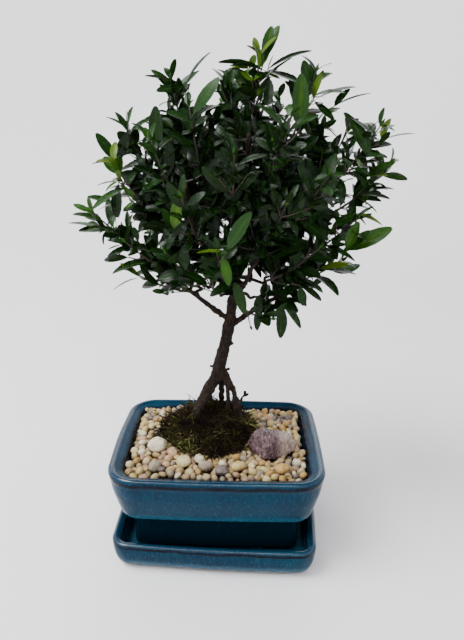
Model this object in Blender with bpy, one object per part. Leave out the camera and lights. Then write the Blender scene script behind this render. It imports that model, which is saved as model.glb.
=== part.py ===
"""A small bonsai tree in a glazed rectangular pot, standing in its drip tray.

The tree is one piece of wood: roots standing clear of the mound, a leaning trunk, limbs and
branchlets. Each leafy spray is a piece of its own that starts just past the end of a branchlet.
The pot holds soil, a moss-covered root mound, a bed of gravel round it, some larger pebbles and
one big stone. The pot stands in the tray, and the tray stands on four low feet at z = 0.

Lengths are in millimetres and are turned into metres when a mesh is made. X runs along the pot's
length, Y towards its back, Z up. Everything hangs from one empty, which puts the origin under the
middle of the whole object's box.
"""

import math
import random

import bmesh
import bpy
import numpy as np
from mathutils import Matrix, Vector
from mathutils.bvhtree import BVHTree

MM = 0.001
GAP = 0.3                    # clearance between two pieces that touch
GAP_SLACK = 0.05             # added to a cutter, because its facets cut inside its true surface

# ---------------------------------------------------------------- driving dimensions
POT_LENGTH = 154.5           # over the rim, along X
POT_DEPTH = 121.0            # over the rim, along Y
POT_HEIGHT = 70.4            # from its feet to the top of its rim
POT_CORNER = 22.0            # outer corner radius at the rim
SIDE_BOW = 0.9               # how far the middle of each side stands out
RIM_THICKNESS = 10.2         # the rounded rim, across
BELLY_TUCK = 8.0             # how far the belly's lower edge lies inside the rim
BELLY_HEIGHT = 37.2          # from the belly's lower edge to the top of the rim
NECK_INSET = 17.0            # how far the neck below the belly lies inside the rim
NECK_WALL = 7.0
POT_FLOOR = 7.0              # thickness of the floor above the feet
POT_FOOT = 4.0               # height of the four feet under the neck
POT_FOOT_LENGTH = 26.0       # each foot, along the side it stands on
DRAIN_RADIUS = 7.0

TRAY_WALL = 8.0              # the tray's rim, across
TRAY_MOAT_X = 6.6            # from the pot's neck to the inside of the tray's rim, at its ends
TRAY_MOAT_Y = 7.9            # the same at the front and back
TRAY_CORNER = 13.3
TRAY_HEIGHT = 23.4
TRAY_FLOOR = 6.0             # thickness of the floor above the feet
TRAY_FOOT = 2.0
TRAY_FOOT_LENGTH = 24.0
TRAY_BOW = 1.2
TRAY_TURN = math.radians(-2.2)   # the tray stands slightly turned under the pot
TRAY_SHIFT = (0.2, -1.0)

GRAVEL_DROP = 3.5            # from the top of the rim down to the gravel
GRAVEL_DEPTH = 14.0
GRAVEL_LUMPS = 0.9
DRAIN_SCREEN = 34.0          # side of the plastic screen over the drain hole
SCREEN_THICKNESS = 1.2
SCREEN_CELLS = 3

MOUND_LEFT = 21.3            # gravel left free between the mound and each inner wall
MOUND_RIGHT = 39.3
MOUND_FRONT = 29.0
MOUND_BACK = 6.0
MOUND_RISE = 19.8            # the mound's crest above the gravel
MOUND_CREST = (7.0, 5.0)     # the crest's place from the middle of the mound
MOUND_LUMPS = 0.9
MOUND_SIDES = 30

STONE_LENGTH = 36.0
STONE_DEPTH = 29.0
STONE_HEIGHT = 17.5
STONE_ANGLE = math.radians(-25)      # seen from the middle of the mound
STONE_GAP = 2.0                 # gravel left between the mound and the stone
STONE_SINK = 3.0             # how deep the stone and the pebbles lie in the gravel
PEBBLE_SINK = 2.6

TREE_HEIGHT = 267.0          # from the mound's crest to the highest leaf tip
CROWN_WIDTH = 232.0          # over the outermost leaf tips
DRAWN_HEIGHT = 267.0         # the tree's height and width for which its points are listed
DRAWN_WIDTH = 232.0
TRUNK_RADIUS = 4.3           # just above the roots
TWIG_RADIUS = 0.95           # half the thickness of a spray's twig at its foot
LEAF_LENGTH = 27.0
LEAF_WIDTH = 8.6
LEAF_THICKNESS = 0.8
LEAF_SPACING = 7.4           # from one pair of leaves to the next
SPRAY_LENGTH = 47.0

# ---------------------------------------------------------------- heights that follow
POT_BASE = TRAY_FOOT + TRAY_FLOOR + GAP
RIM_TOP = POT_BASE + POT_HEIGHT
INNER_FLOOR = POT_BASE + POT_FOOT + POT_FLOOR
GRAVEL_TOP = RIM_TOP - GRAVEL_DROP
GRAVEL_BASE = GRAVEL_TOP - GRAVEL_DEPTH
SOIL_TOP = GRAVEL_BASE - GAP
MOUND_TOP = GRAVEL_TOP + MOUND_RISE

# ---------------------------------------------------------------- widths that follow
HALF_LENGTH = POT_LENGTH / 2
HALF_DEPTH = POT_DEPTH / 2
WELL_INSET = RIM_THICKNESS + 0.4          # the inner wall beside the gravel
WELL_X = HALF_LENGTH - WELL_INSET
WELL_Y = HALF_DEPTH - WELL_INSET
TRAY_X = HALF_LENGTH - NECK_INSET + TRAY_MOAT_X + TRAY_WALL
TRAY_Y = HALF_DEPTH - NECK_INSET + TRAY_MOAT_Y + TRAY_WALL
MOUND_X = (MOUND_LEFT - MOUND_RIGHT) / 2
MOUND_Y = (MOUND_FRONT - MOUND_BACK) / 2
MOUND_HALF_X = WELL_X - (MOUND_LEFT + MOUND_RIGHT) / 2
MOUND_HALF_Y = WELL_Y - (MOUND_FRONT + MOUND_BACK) / 2
TREE_FOOT = np.array([MOUND_X + MOUND_CREST[0], MOUND_Y + MOUND_CREST[1], MOUND_TOP])
STRETCH = np.array([CROWN_WIDTH / DRAWN_WIDTH, CROWN_WIDTH / DRAWN_WIDTH, TREE_HEIGHT / DRAWN_HEIGHT])

# ---------------------------------------------------------------- the tree's points
# All of these are measured from the mound's crest, for a tree of the drawn height and width.
TRUNK = [
    (-2, 0, 25), (-1, 0, 37), (1, 0, 50), (4, 0, 66), (6, 0, 78), (8, 0, 89), (10, 0, 99),
    (12, 0, 113), (14, 1, 130), (16, 2, 150), (18, 1, 175), (21, 0, 200),
]
TRUNK_HEAD = (8, 0, 85)      # every twig points away from here

# each root: its points from the fork down into the mound, its radius at the top and at the end
ROOTS = [
    ([(-1, 0, 31), (-4, -1, 22), (-9, -3, 13), (-14, -7, 3), (-17, -10, -11)], 4.2, 3.7),
    ([(0, 0, 27), (3, -2, 19), (4, -3, 8), (4, -4, -9)], 1.5, 1.2),
    ([(0, 0, 32), (5, -1, 23), (9, -2, 14), (12, -3, 4), (14, -4, -11)], 2.7, 2.0),
    ([(-1, 0, 29), (1, 5, 16), (2, 9, 3), (3, 12, -10)], 2.3, 1.8),
    ([(-3, 1, 26), (-7, 7, 12), (-11, 11, 1), (-13, 13, -11)], 2.2, 1.6),
    ([(10, -2, 12), (15, -6, 7), (18, -8, -2), (19, -9, -11)], 1.1, 0.9),
]

# each stub of a cut branch: where it leaves the trunk and its end
STUBS = [((2, 0, 56), (9, -3, 58)), ((2, 0, 44), (-5, -4, 46))]

# each limb: its points from inside the trunk outwards
LIMBS = [
    [(5, 0, 75), (-14, 0, 89), (-28, -2, 100), (-46, -7, 114)],
    [(5, 0, 71), (22, 0, 82), (33, 0, 90), (49, -2, 98), (62, -6, 108)],
    [(9, 0, 88), (20, -17, 106), (28, -36, 134)],
    [(10, 0, 96), (-4, -17, 120), (-14, -34, 150), (-18, -40, 176)],
    [(11, 0, 100), (-8, 20, 124), (-24, 40, 156)],
    [(12, 0, 106), (26, 20, 127), (42, 40, 154)],
    [(12, 0, 110), (-12, 3, 135), (-36, 0, 162)],
    [(13, 0, 116), (36, 3, 138), (58, 0, 160), (74, 0, 180)],
    [(15, 1, 134), (0, 5, 162), (-16, 2, 196)],
    [(16, 2, 146), (34, -4, 170), (48, -6, 200)],
    [(15, 1, 138), (16, 24, 166), (12, 42, 196)],
    [(17, 1, 158), (19, -18, 180), (20, -32, 204)],
]

# where the twig of each outer spray ends, on the front and at the sides of the crown
SHOOTS = [
    (26, 0, 250), (62, 0, 241), (-30, 0, 235), (104, -8, 209), (116, 8, 184), (92, -15, 150),
    (86, -10, 121), (-84, -8, 151), (-60, -22, 134), (-58, -12, 111), (-66, -20, 185),
    (-62, 8, 206), (-16, -32, 219), (-38, -44, 200), (44, -46, 214), (86, 6, 205),
    (3, -68, 138), (8, 6, 236), (56, -14, 104), (38, -28, 84), (-6, -42, 117), (-30, -46, 133),
    (66, -36, 135), (42, -64, 166), (-18, -66, 170), (12, -68, 194), (66, -54, 182),
]
# round the back of the crown the ends of the twigs are spread evenly by a rule
BACK_SHOOTS = 12
CROWN_MIDDLE = (9, 0, 160)
CROWN_REACH = (84, 86, 84)

COLOURS = {
    "glaze": (0.018, 0.095, 0.15), "soil": (0.05, 0.034, 0.022), "gravel": (0.62, 0.52, 0.36),
    "moss": (0.045, 0.05, 0.018), "stone": (0.32, 0.23, 0.27), "bark": (0.13, 0.085, 0.06),
    "leaf": (0.03, 0.11, 0.035), "screen": (0.03, 0.03, 0.03),
}
ROUGHNESS = {"glaze": 0.12, "leaf": 0.35, "stone": 0.6, "screen": 0.5}


# ---------------------------------------------------------------- scene helpers
def clear_scene():
    for old in list(bpy.data.objects):
        bpy.data.objects.remove(old, do_unlink=True)


def make_material(name, finish):
    material = bpy.data.materials.new(name + "_finish")
    material.use_nodes = True
    shader = material.node_tree.nodes["Principled BSDF"]
    shader.inputs["Base Color"].default_value = (*COLOURS[finish], 1.0)
    shader.inputs["Roughness"].default_value = ROUGHNESS.get(finish, 0.85)
    shader.inputs["Metallic"].default_value = 0.0
    return material


def add_piece(name, vertices, faces, finish, parent, smooth=None):
    """One object from points in millimetres; smooth is the angle below which edges are rounded."""
    mesh = bpy.data.meshes.new(name)
    mesh.from_pydata([tuple(float(c) * MM for c in v) for v in vertices], [], faces)
    mesh.validate()
    piece = bpy.data.objects.new(name, mesh)
    bpy.context.scene.collection.objects.link(piece)
    piece.parent = parent
    mesh.materials.append(make_material(name, finish))
    if smooth:
        mesh.shade_smooth()
        mesh.set_sharp_from_angle(angle=math.radians(smooth))
    return piece


def as_cutter(piece):
    """Marks a piece as a tool that only shapes others."""
    piece.hide_render = True
    piece.display_type = "WIRE"
    return piece


def add_boolean(piece, tool, operation):
    modifier = piece.modifiers.new(operation.lower(), "BOOLEAN")
    modifier.operation = operation
    modifier.solver = "EXACT"
    if isinstance(tool, bpy.types.Collection):
        modifier.operand_type = "COLLECTION"
        modifier.collection = tool
    else:
        modifier.object = tool
    return modifier


def tool_collection(name, pieces):
    group = bpy.data.collections.new(name)
    bpy.context.scene.collection.children.link(group)
    for piece in pieces:
        group.objects.link(piece)
        bpy.context.scene.collection.objects.unlink(piece)
    return group


# ---------------------------------------------------------------- rounded rectangles and lofts
def outline(half_x, half_y, corner, bow, corner_steps, side_steps):
    """A rounded rectangle with bowed sides, anticlockwise from above, as an (n, 2) array.

    Each corner is a quarter circle, and each side stands out by a cosine bump of the given bow.
    """
    points = []
    for quarter in range(4):
        sx = 1 if quarter in (0, 3) else -1
        sy = 1 if quarter in (0, 1) else -1
        centre = np.array([sx * (half_x - bow - corner), sy * (half_y - bow - corner)])
        for step in range(corner_steps + 1):
            angle = (quarter + step / corner_steps) * math.pi / 2
            points.append(centre + corner * np.array([math.cos(angle), math.sin(angle)]))
        along_x = quarter % 2 == 0
        flat = (half_x if along_x else half_y) - bow - corner
        for step in range(1, side_steps):
            place = 1 - 2 * step / side_steps
            out = bow * math.cos(place * math.pi / 2)
            if along_x:
                points.append(np.array([sx * flat * place, sy * (half_y - bow + out)]))
            else:
                points.append(np.array([sx * (half_x - bow + out), sy * flat * place]))
    return np.array(points)


def inset_outline(half_x, half_y, corner, bow, inset, corner_steps=5, side_steps=3):
    """The outline moved inwards; the corner keeps a small radius of its own."""
    return outline(
        half_x - inset, half_y - inset, max(corner - inset, 5.0), bow, corner_steps, side_steps
    )


def loft(rings):
    """Closed skin through rings of equal length, with a flat cap at each end.

    The rings run from the underside's middle, round the outside and back to the inside's middle,
    so the first cap faces down and the last one up.
    """
    count = len(rings[0])
    vertices = [tuple(p) for ring in rings for p in ring]
    faces = [list(range(count))[::-1]]
    for k in range(len(rings) - 1):
        for j in range(count):
            n = (j + 1) % count
            faces.append([k * count + j, k * count + n, (k + 1) * count + n, (k + 1) * count + j])
    last = (len(rings) - 1) * count
    faces.append([last + j for j in range(count)])
    return vertices, faces


def arc(middle, radius, start, end, steps):
    """Points of a section arc, as (inset, height), with angles in degrees."""
    angles = np.radians(np.linspace(start, end, steps + 1))
    return [(middle[0] - radius * math.cos(a), middle[1] + radius * math.sin(a)) for a in angles]


def vessel(section, half_x, half_y, corner, bow):
    """A pot or tray: the outline lofted along a section of (inset, height) points."""
    rings = []
    for inset, height in section:
        flat = inset_outline(half_x, half_y, corner, bow, inset)
        rings.append(np.column_stack([flat, np.full(len(flat), height)]))
    return loft(rings)


def box_tool(name, low, high, parent):
    """A plain box between two corners, used only as a cutter."""
    corners = [(x, y, z) for z in (low[2], high[2]) for y in (low[1], high[1]) for x in (low[0], high[0])]
    faces = [[0, 2, 3, 1], [4, 5, 7, 6], [0, 1, 5, 4], [2, 6, 7, 3], [0, 4, 6, 2], [1, 3, 7, 5]]
    return as_cutter(add_piece(name, corners, faces, "soil", parent))


def cut_feet(piece, half_x, half_y, base, foot_height, foot_length, parent):
    """Two crossing channels under a vessel leave a foot at each corner."""
    reach = 40.0
    channels = [
        ("_channel_x", half_x + reach, half_y - foot_length),
        ("_channel_y", half_x - foot_length, half_y + reach),
    ]
    for suffix, cut_x, cut_y in channels:
        low = (-cut_x, -cut_y, base - 1.0)
        high = (cut_x, cut_y, base + foot_height)
        add_boolean(piece, box_tool(piece.name + suffix, low, high, parent), "DIFFERENCE")


# ---------------------------------------------------------------- pot and tray
def pot_section():
    """(inset, height) from the underside, up the outside, over the rim and down the inside."""
    belly = RIM_TOP - BELLY_HEIGHT
    rim_radius = RIM_THICKNESS / 2
    rim_middle = (rim_radius, RIM_TOP - rim_radius)
    hollow = NECK_INSET - BELLY_TUCK - 1.5
    outside = [
        (NECK_INSET + 3.0, POT_BASE),
        (NECK_INSET + 0.8, POT_BASE + 2.0),
        (NECK_INSET, POT_BASE + 6.0),
        (NECK_INSET, belly - hollow + 1.0),
        (NECK_INSET - 2.0, belly - hollow / 2),
        (BELLY_TUCK + 3.0, belly - 1.6),
        (BELLY_TUCK + 0.8, belly - 0.4),
        (BELLY_TUCK - 0.3, belly + 1.6),
        (BELLY_TUCK * 0.62, belly + 9.5),
        (BELLY_TUCK * 0.28, belly + 19.0),
        (0.9, RIM_TOP - 10.0),
        (0.9, RIM_TOP - 8.4),
    ]
    rim = arc(rim_middle, rim_radius, 0, 180, 6)
    neck_inside = NECK_INSET + NECK_WALL
    inside = [
        (WELL_INSET, RIM_TOP - 8.0),
        (WELL_INSET, belly + 9.0),
        (WELL_INSET + 3.0, belly + 4.0),
        (neck_inside - 1.5, belly - 3.0),
        (neck_inside, belly - 8.0),
        (neck_inside, INNER_FLOOR + 2.5),
        (neck_inside + 2.5, INNER_FLOOR),
    ]
    return outside + rim + inside


def make_pot(parent):
    vertices, faces = vessel(pot_section(), HALF_LENGTH, HALF_DEPTH, POT_CORNER, SIDE_BOW)
    pot = add_piece("pot", vertices, faces, "glaze", parent, smooth=40)
    neck_x = HALF_LENGTH - NECK_INSET
    neck_y = HALF_DEPTH - NECK_INSET
    cut_feet(pot, neck_x, neck_y, POT_BASE, POT_FOOT, POT_FOOT_LENGTH, parent)
    steps = 20
    rings = []
    for height in (POT_BASE - 1.0, INNER_FLOOR + 1.0):
        turn = np.linspace(0, 2 * math.pi, steps, endpoint=False)
        rings.append(np.column_stack([
            DRAIN_RADIUS * np.cos(turn), DRAIN_RADIUS * np.sin(turn), np.full(steps, height)
        ]))
    drill = as_cutter(add_piece("pot_drain_drill", *loft(rings), "soil", parent))
    add_boolean(pot, drill, "DIFFERENCE")
    return pot


def make_tray(parent):
    rim_radius = TRAY_WALL / 2
    rim_middle = (rim_radius, TRAY_HEIGHT - rim_radius)
    floor = TRAY_FOOT + TRAY_FLOOR
    section = [
        (7.0, 0.0),
        (5.6, 0.6),
        (3.4, 3.6),
        (1.3, 8.0),
        (0.4, 13.0),
    ]
    section += arc(rim_middle, rim_radius, 0, 180, 6)
    section += [
        (TRAY_WALL + 0.2, floor + 5.0),
        (TRAY_WALL + 1.0, floor + 1.6),
        (TRAY_WALL + 2.4, floor),
    ]
    vertices, faces = vessel(section, TRAY_X, TRAY_Y, TRAY_CORNER, TRAY_BOW)
    tray = add_piece("tray", vertices, faces, "glaze", parent, smooth=40)
    turn = bpy.data.objects.new("tray_turn", None)
    bpy.context.scene.collection.objects.link(turn)
    turn.parent = parent
    turn.location = (TRAY_SHIFT[0] * MM, TRAY_SHIFT[1] * MM, 0.0)
    turn.rotation_euler = (0.0, 0.0, TRAY_TURN)
    tray.parent = turn
    cut_feet(tray, TRAY_X, TRAY_Y, 0.0, TRAY_FOOT, TRAY_FOOT_LENGTH, turn)
    return tray


# ---------------------------------------------------------------- soil, screen, mound and gravel
def mound_outline(angle):
    """Distance from the mound's middle to its edge: an ellipse with three shallow waves."""
    x = math.cos(angle) / MOUND_HALF_X
    y = math.sin(angle) / MOUND_HALF_Y
    return (1 - 0.04 * (1 + math.cos(3 * angle + 0.7)) / 2) / math.hypot(x, y)


def bumps(x, y, size):
    """A lumpy surface: two crossed waves, as tall as size."""
    return size * 0.5 * (math.sin(0.43 * x + 1.3) * math.cos(0.51 * y) + math.sin(0.83 * y - 0.37 * x))


def make_soil(screen_pocket, parent):
    neck_inside = NECK_INSET + NECK_WALL
    belly = RIM_TOP - BELLY_HEIGHT
    section = [
        (neck_inside + 2.5 + GAP, INNER_FLOOR + GAP),
        (neck_inside + GAP * 1.5, INNER_FLOOR + 2.5 + GAP),
        (neck_inside + GAP, belly - 8.0 + GAP),
        (neck_inside - 1.5 + GAP * 1.5, belly - 3.0 + GAP),
        (WELL_INSET + 3.0 + GAP * 2.2, belly + 4.0),
        (WELL_INSET + GAP, belly + 9.5),
        (WELL_INSET + GAP, SOIL_TOP),
    ]
    vertices, faces = vessel(section, HALF_LENGTH, HALF_DEPTH, POT_CORNER, SIDE_BOW)
    soil = add_piece("soil", vertices, faces, "soil", parent)
    add_boolean(soil, screen_pocket, "DIFFERENCE")
    return soil


def make_drain_screen(parent):
    """A square plastic screen on the pot's floor: a plate of bars round square holes."""
    cells = SCREEN_CELLS
    bar = DRAIN_SCREEN / (3 * cells + 1)
    lines = []
    for cell in range(cells):
        lines += [-DRAIN_SCREEN / 2 + cell * 3 * bar, -DRAIN_SCREEN / 2 + (cell * 3 + 1) * bar]
    lines += [DRAIN_SCREEN / 2 - bar, DRAIN_SCREEN / 2]
    low = INNER_FLOOR + GAP
    build = bmesh.new()
    grid = [[build.verts.new((x * MM, y * MM, low * MM)) for x in lines] for y in lines]
    for row in range(len(lines) - 1):
        for column in range(len(lines) - 1):
            if row % 2 == 0 or column % 2 == 0:
                corners = [(row, column), (row, column + 1), (row + 1, column + 1), (row + 1, column)]
                build.faces.new([grid[r][c] for r, c in corners])
    mesh = bpy.data.meshes.new("drain_screen")
    build.to_mesh(mesh)
    build.free()
    screen = bpy.data.objects.new("drain_screen", mesh)
    bpy.context.scene.collection.objects.link(screen)
    screen.parent = parent
    mesh.materials.append(make_material("drain_screen", "screen"))
    thick = screen.modifiers.new("thickness", "SOLIDIFY")
    thick.thickness = SCREEN_THICKNESS * MM
    thick.offset = 1.0
    reach = DRAIN_SCREEN / 2 + GAP
    pocket_top = low + SCREEN_THICKNESS + GAP
    return box_tool("screen_pocket", (-reach, -reach, low - 3.0), (reach, reach, pocket_top), parent)


def mound_ring(share, height, lumps, grow=0.0):
    """A share of the mound's outline; the smaller the share, the nearer its middle to the crest."""
    drift = 1 - share
    points = []
    for angle in np.linspace(0, 2 * math.pi, MOUND_SIDES, endpoint=False):
        reach = share * mound_outline(angle) + grow
        x = MOUND_X + MOUND_CREST[0] * drift + reach * math.cos(angle)
        y = MOUND_Y + MOUND_CREST[1] * drift + reach * math.sin(angle)
        points.append((x, y, height + bumps(x, y, lumps)))
    return points


def make_mound(root_tools, parent):
    """Rings from the mound's foot up to its crest, with hollows for the roots."""
    rings = [mound_ring(1.0, GRAVEL_BASE, 0.0), mound_ring(1.0, GRAVEL_TOP, 0.0)]
    for share in (0.97, 0.86, 0.72, 0.56, 0.4, 0.22, 0.08):
        dome = (1 - share ** 2) ** 0.8
        lumps = MOUND_LUMPS * min(1, 4 * (1 - share))
        rings.append(mound_ring(share, GRAVEL_TOP + MOUND_RISE * dome, lumps))
    mound = add_piece("moss_mound", *loft(rings), "moss", parent, smooth=60)
    add_boolean(mound, tool_collection("root_tools", root_tools), "DIFFERENCE")
    return mound


def make_gravel(tools, parent):
    """A bed that fills the pot round the mound, with a lumpy top.

    Rings shrink from the pot's wall towards the mound's middle. The mound and the stones are then
    cut out of the bed, each with its clearance.
    """
    middle = np.array([MOUND_X, MOUND_Y])
    outer = outline(WELL_X - GAP, WELL_Y - GAP, POT_CORNER - WELL_INSET, SIDE_BOW, 3, 5)
    rings = [np.column_stack([outer, np.full(len(outer), GRAVEL_BASE)])]
    for share in (0.0, 0.08, 0.26, 0.46, 0.72):
        flat = outer * (1 - share) + middle * share
        lumps = GRAVEL_LUMPS * min(1, 10 * share)
        heights = [GRAVEL_TOP - 1.2 * (share == 0) + bumps(x, y, lumps) for x, y in flat]
        rings.append(np.column_stack([flat, heights]))
    bed = add_piece("gravel_bed", *loft(rings), "gravel", parent)
    mound_hole = [mound_ring(1.0, height, 0.0, GAP * 1.2) for height in (GRAVEL_BASE - 1, GRAVEL_TOP + 5)]
    mound_tool = as_cutter(add_piece("mound_hole", *loft(mound_hole), "gravel", parent))
    add_boolean(bed, tool_collection("gravel_tools", tools + [mound_tool]), "DIFFERENCE")
    return bed


# ---------------------------------------------------------------- stones
def rough_ball(middle, half, seed, turn, levels, roughness, grow=0.0):
    """An icosphere squeezed to half sizes, turned, and pushed in and out at random by its seed."""
    draw = random.Random(seed)
    build = bmesh.new()
    bmesh.ops.create_icosphere(build, subdivisions=levels, radius=1.0)
    vertices = []
    spin = Matrix.Rotation(turn, 3, "Z")
    for vert in build.verts:
        push = 1 + roughness * (draw.random() - 0.5)
        local = Vector([vert.co[i] * (half[i] * push + grow) for i in range(3)])
        vertices.append(Vector(middle) + spin @ local)
    faces = [[v.index for v in face.verts] for face in build.faces]
    build.free()
    return vertices, faces


def pebble_places():
    """Angle round the mound, share of the way from mound to wall, half sizes and turn of each."""
    draw = random.Random(11)
    spots = [(213, 0.08, 7.6), (234, 0.7, 5.4), (231, 0.02, 5.0), (251, 0.32, 6.2), (264.5, 0.05, 4.5),
             (272, 0.58, 5.2), (284, 0.75, 4.8), (298, 0.6, 5.4), (318.5, 0.78, 5.8)]
    places = []
    for degrees, share, size in spots:
        angle = math.radians(degrees)
        start = mound_outline(angle) + size + GAP
        side_x = math.copysign(1, math.cos(angle))
        side_y = math.copysign(1, math.sin(angle))
        reach_x = (WELL_X - side_x * MOUND_X - size * 1.1 - GAP) / abs(math.cos(angle))
        reach_y = (WELL_Y - side_y * MOUND_Y - size * 1.1 - GAP) / abs(math.sin(angle))
        wall = min(reach_x, reach_y)
        away = start + share * (wall - start)
        half = (size, size * draw.uniform(0.72, 0.9), size * draw.uniform(0.6, 0.75))
        x = MOUND_X + away * math.cos(angle)
        y = MOUND_Y + away * math.sin(angle)
        middle = (x, y, GRAVEL_TOP + half[2] - PEBBLE_SINK)
        places.append((middle, half, draw.uniform(0, math.pi)))
    return places


def make_stones(parent):
    """The big stone beside the mound and the larger pebbles; returns the hollows they press."""
    tools = []
    away = mound_outline(STONE_ANGLE) + STONE_GAP + STONE_LENGTH / 2
    x = MOUND_X + away * math.cos(STONE_ANGLE)
    y = MOUND_Y + away * math.sin(STONE_ANGLE)
    middle = (x, y, GRAVEL_TOP + STONE_HEIGHT / 2 - STONE_SINK)
    half = (STONE_LENGTH / 2, STONE_DEPTH / 2, STONE_HEIGHT / 2)
    pieces = [("amethyst_stone", "stone", middle, half, 0.25, 3, 0.16)]
    for number, (spot, size, turn) in enumerate(pebble_places(), 1):
        pieces.append((f"pebble_{number:02d}", "gravel", spot, size, turn, 2, 0.14))
    for seed, (name, finish, spot, size, turn, levels, roughness) in enumerate(pieces):
        add_piece(name, *rough_ball(spot, size, seed, turn, levels, roughness), finish, parent)
        hollow = rough_ball(spot, size, seed, turn, levels, roughness, grow=GAP * 1.4)
        tools.append(as_cutter(add_piece(name + "_hollow", *hollow, finish, parent)))
    return tools


# ---------------------------------------------------------------- wood
def tree_point(point):
    """A listed point of the tree, at its place above the mound's crest."""
    return TREE_FOOT + np.array(point, float) * STRETCH


def unit(vector):
    return vector / np.linalg.norm(vector)


def side_frame(axis, turn=0.0):
    """Two directions across an axis, turned about it; across, along and axis are right-handed."""
    helper = np.array([0.0, 0.0, 1.0]) if abs(axis[2]) < 0.9 else np.array([0.0, 1.0, 0.0])
    across = unit(np.cross(helper, axis))
    along = np.cross(axis, across)
    return across * math.cos(turn) + along * math.sin(turn), along * math.cos(turn) - across * math.sin(turn)


def smooth_path(points, per_span):
    """A Catmull-Rom curve through the points."""
    points = np.array(points, float)
    padded = np.vstack([2 * points[0] - points[1], points, 2 * points[-1] - points[-2]])
    path = []
    for k in range(len(points) - 1):
        a, b, c, d = padded[k:k + 4]
        for step in range(per_span):
            t = step / per_span
            path.append(0.5 * (2 * b + (c - a) * t + (2 * a - 5 * b + 4 * c - d) * t ** 2
                               + (3 * b - a - 3 * c + d) * t ** 3))
    path.append(points[-1])
    return np.array(path)


def tube(path, radii, sides, flutes=0.0):
    """A closed tube along a path, with a radius at each point; flutes makes it unround."""
    rings = []
    tangents = np.gradient(path, axis=0)
    across, _ = side_frame(unit(tangents[0]))
    for place, tangent, radius in zip(path, tangents, radii):
        axis = unit(tangent)
        across = unit(across - np.dot(across, axis) * axis)
        along = np.cross(axis, across)
        turns = np.linspace(0, 2 * math.pi, sides, endpoint=False)
        wide = radius * (1 + flutes * np.cos(3 * turns + 0.03 * place[2]))
        rings.append(place + np.outer(wide * np.cos(turns), across) + np.outer(wide * np.sin(turns), along))
    return loft(rings)


def tapered(points, start, end, sides, per_span, grow=0.0, flutes=0.0):
    """A tube through the points whose radius falls from start to end."""
    path = smooth_path(points, per_span)
    return tube(path, np.linspace(start, end, len(path)) + grow, sides, flutes)


def limb_paths():
    """Every limb as its path and its radius at both ends; the trunk's own upper part is one too."""
    paths = []
    for points in LIMBS:
        path = smooth_path([tree_point(p) for p in points], 2)
        paths.append((path, 2.5 - 0.008 * (points[0][2] - 70), 1.5))
    return paths


# ---------------------------------------------------------------- sprays
def shoot_tips():
    """The end of every twig: the listed ones, then a half sphere of evenly spread ones behind."""
    tips = [tree_point(p) for p in SHOOTS]
    golden = math.pi * (3 - math.sqrt(5))
    for number in range(BACK_SHOOTS):
        height = 1 - 1.7 * (number + 0.5) / BACK_SHOOTS
        ring = math.sqrt(1 - height ** 2)
        angle = math.pi / 2 + math.remainder(number * golden, math.pi) * 0.92
        point = [
            CROWN_MIDDLE[0] + CROWN_REACH[0] * ring * math.cos(angle),
            CROWN_MIDDLE[1] + 6 + CROWN_REACH[1] * ring * abs(math.sin(angle)),
            CROWN_MIDDLE[2] + CROWN_REACH[2] * height,
        ]
        tips.append(tree_point(point))
    return tips


def twig_path(tip, sag, side, share):
    """A twig that ends at its tip, points away from the trunk's head and rises in a shallow bow.

    share shortens it where there is no room for its full length.
    """
    head = tree_point(TRUNK_HEAD)
    away = tip - head
    length = share * min(SPRAY_LENGTH, 0.62 * np.linalg.norm(away))
    across, _ = side_frame(unit(away))
    foot = tip - length * unit(away)
    bow = np.array([0.0, 0.0, -sag * length]) + across * side * length
    shares = np.linspace(0, 1, 9)[:, None]
    return foot * (1 - shares) + tip * shares + bow * (4 * shares * (1 - shares))


def guard_tree(vertices, faces):
    return BVHTree.FromPolygons([tuple(v) for v in vertices], faces)


class Space:
    """What is already placed: a search tree and a bounding ball for each solid."""

    def __init__(self):
        self.trees = []
        self.middles = np.empty((0, 3))
        self.reaches = np.empty(0)

    def add(self, vertices, faces):
        points = np.array([tuple(v) for v in vertices])
        middle = points.mean(axis=0)
        self.trees.append(guard_tree(vertices, faces))
        self.middles = np.vstack([self.middles, middle])
        self.reaches = np.append(self.reaches, np.linalg.norm(points - middle, axis=1).max())

    def hits(self, vertices, faces, skip=()):
        points = np.array([tuple(v) for v in vertices])
        middle = points.mean(axis=0)
        reach = np.linalg.norm(points - middle, axis=1).max()
        near = np.linalg.norm(self.middles - middle, axis=1) < self.reaches + reach
        candidate = guard_tree(vertices, faces)
        return any(
            self.trees[k].overlap(candidate) for k in np.flatnonzero(near) if k not in skip
        )


def carry_twig(path, limb_points, taken):
    """The branchlet from the best free point of a limb to the foot of a twig, and that point.

    The best point is near the foot and behind it, so that the branchlet never doubles back. Each
    limb point carries one branchlet.
    """
    axis = unit(path[1] - path[0])
    below = path[0] - limb_points
    cost = np.linalg.norm(below, axis=1) + 3 * np.maximum(0, 6 - below @ axis) + 1000 * taken
    best = np.argmin(cost)
    root = limb_points[best]
    end = path[0] - GAP * axis
    middle = (root + end) / 2 - np.array([0.0, 0.0, 0.12 * (end - root)[2]])
    return np.array([root, middle, end - 3 * axis, end]), best


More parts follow.
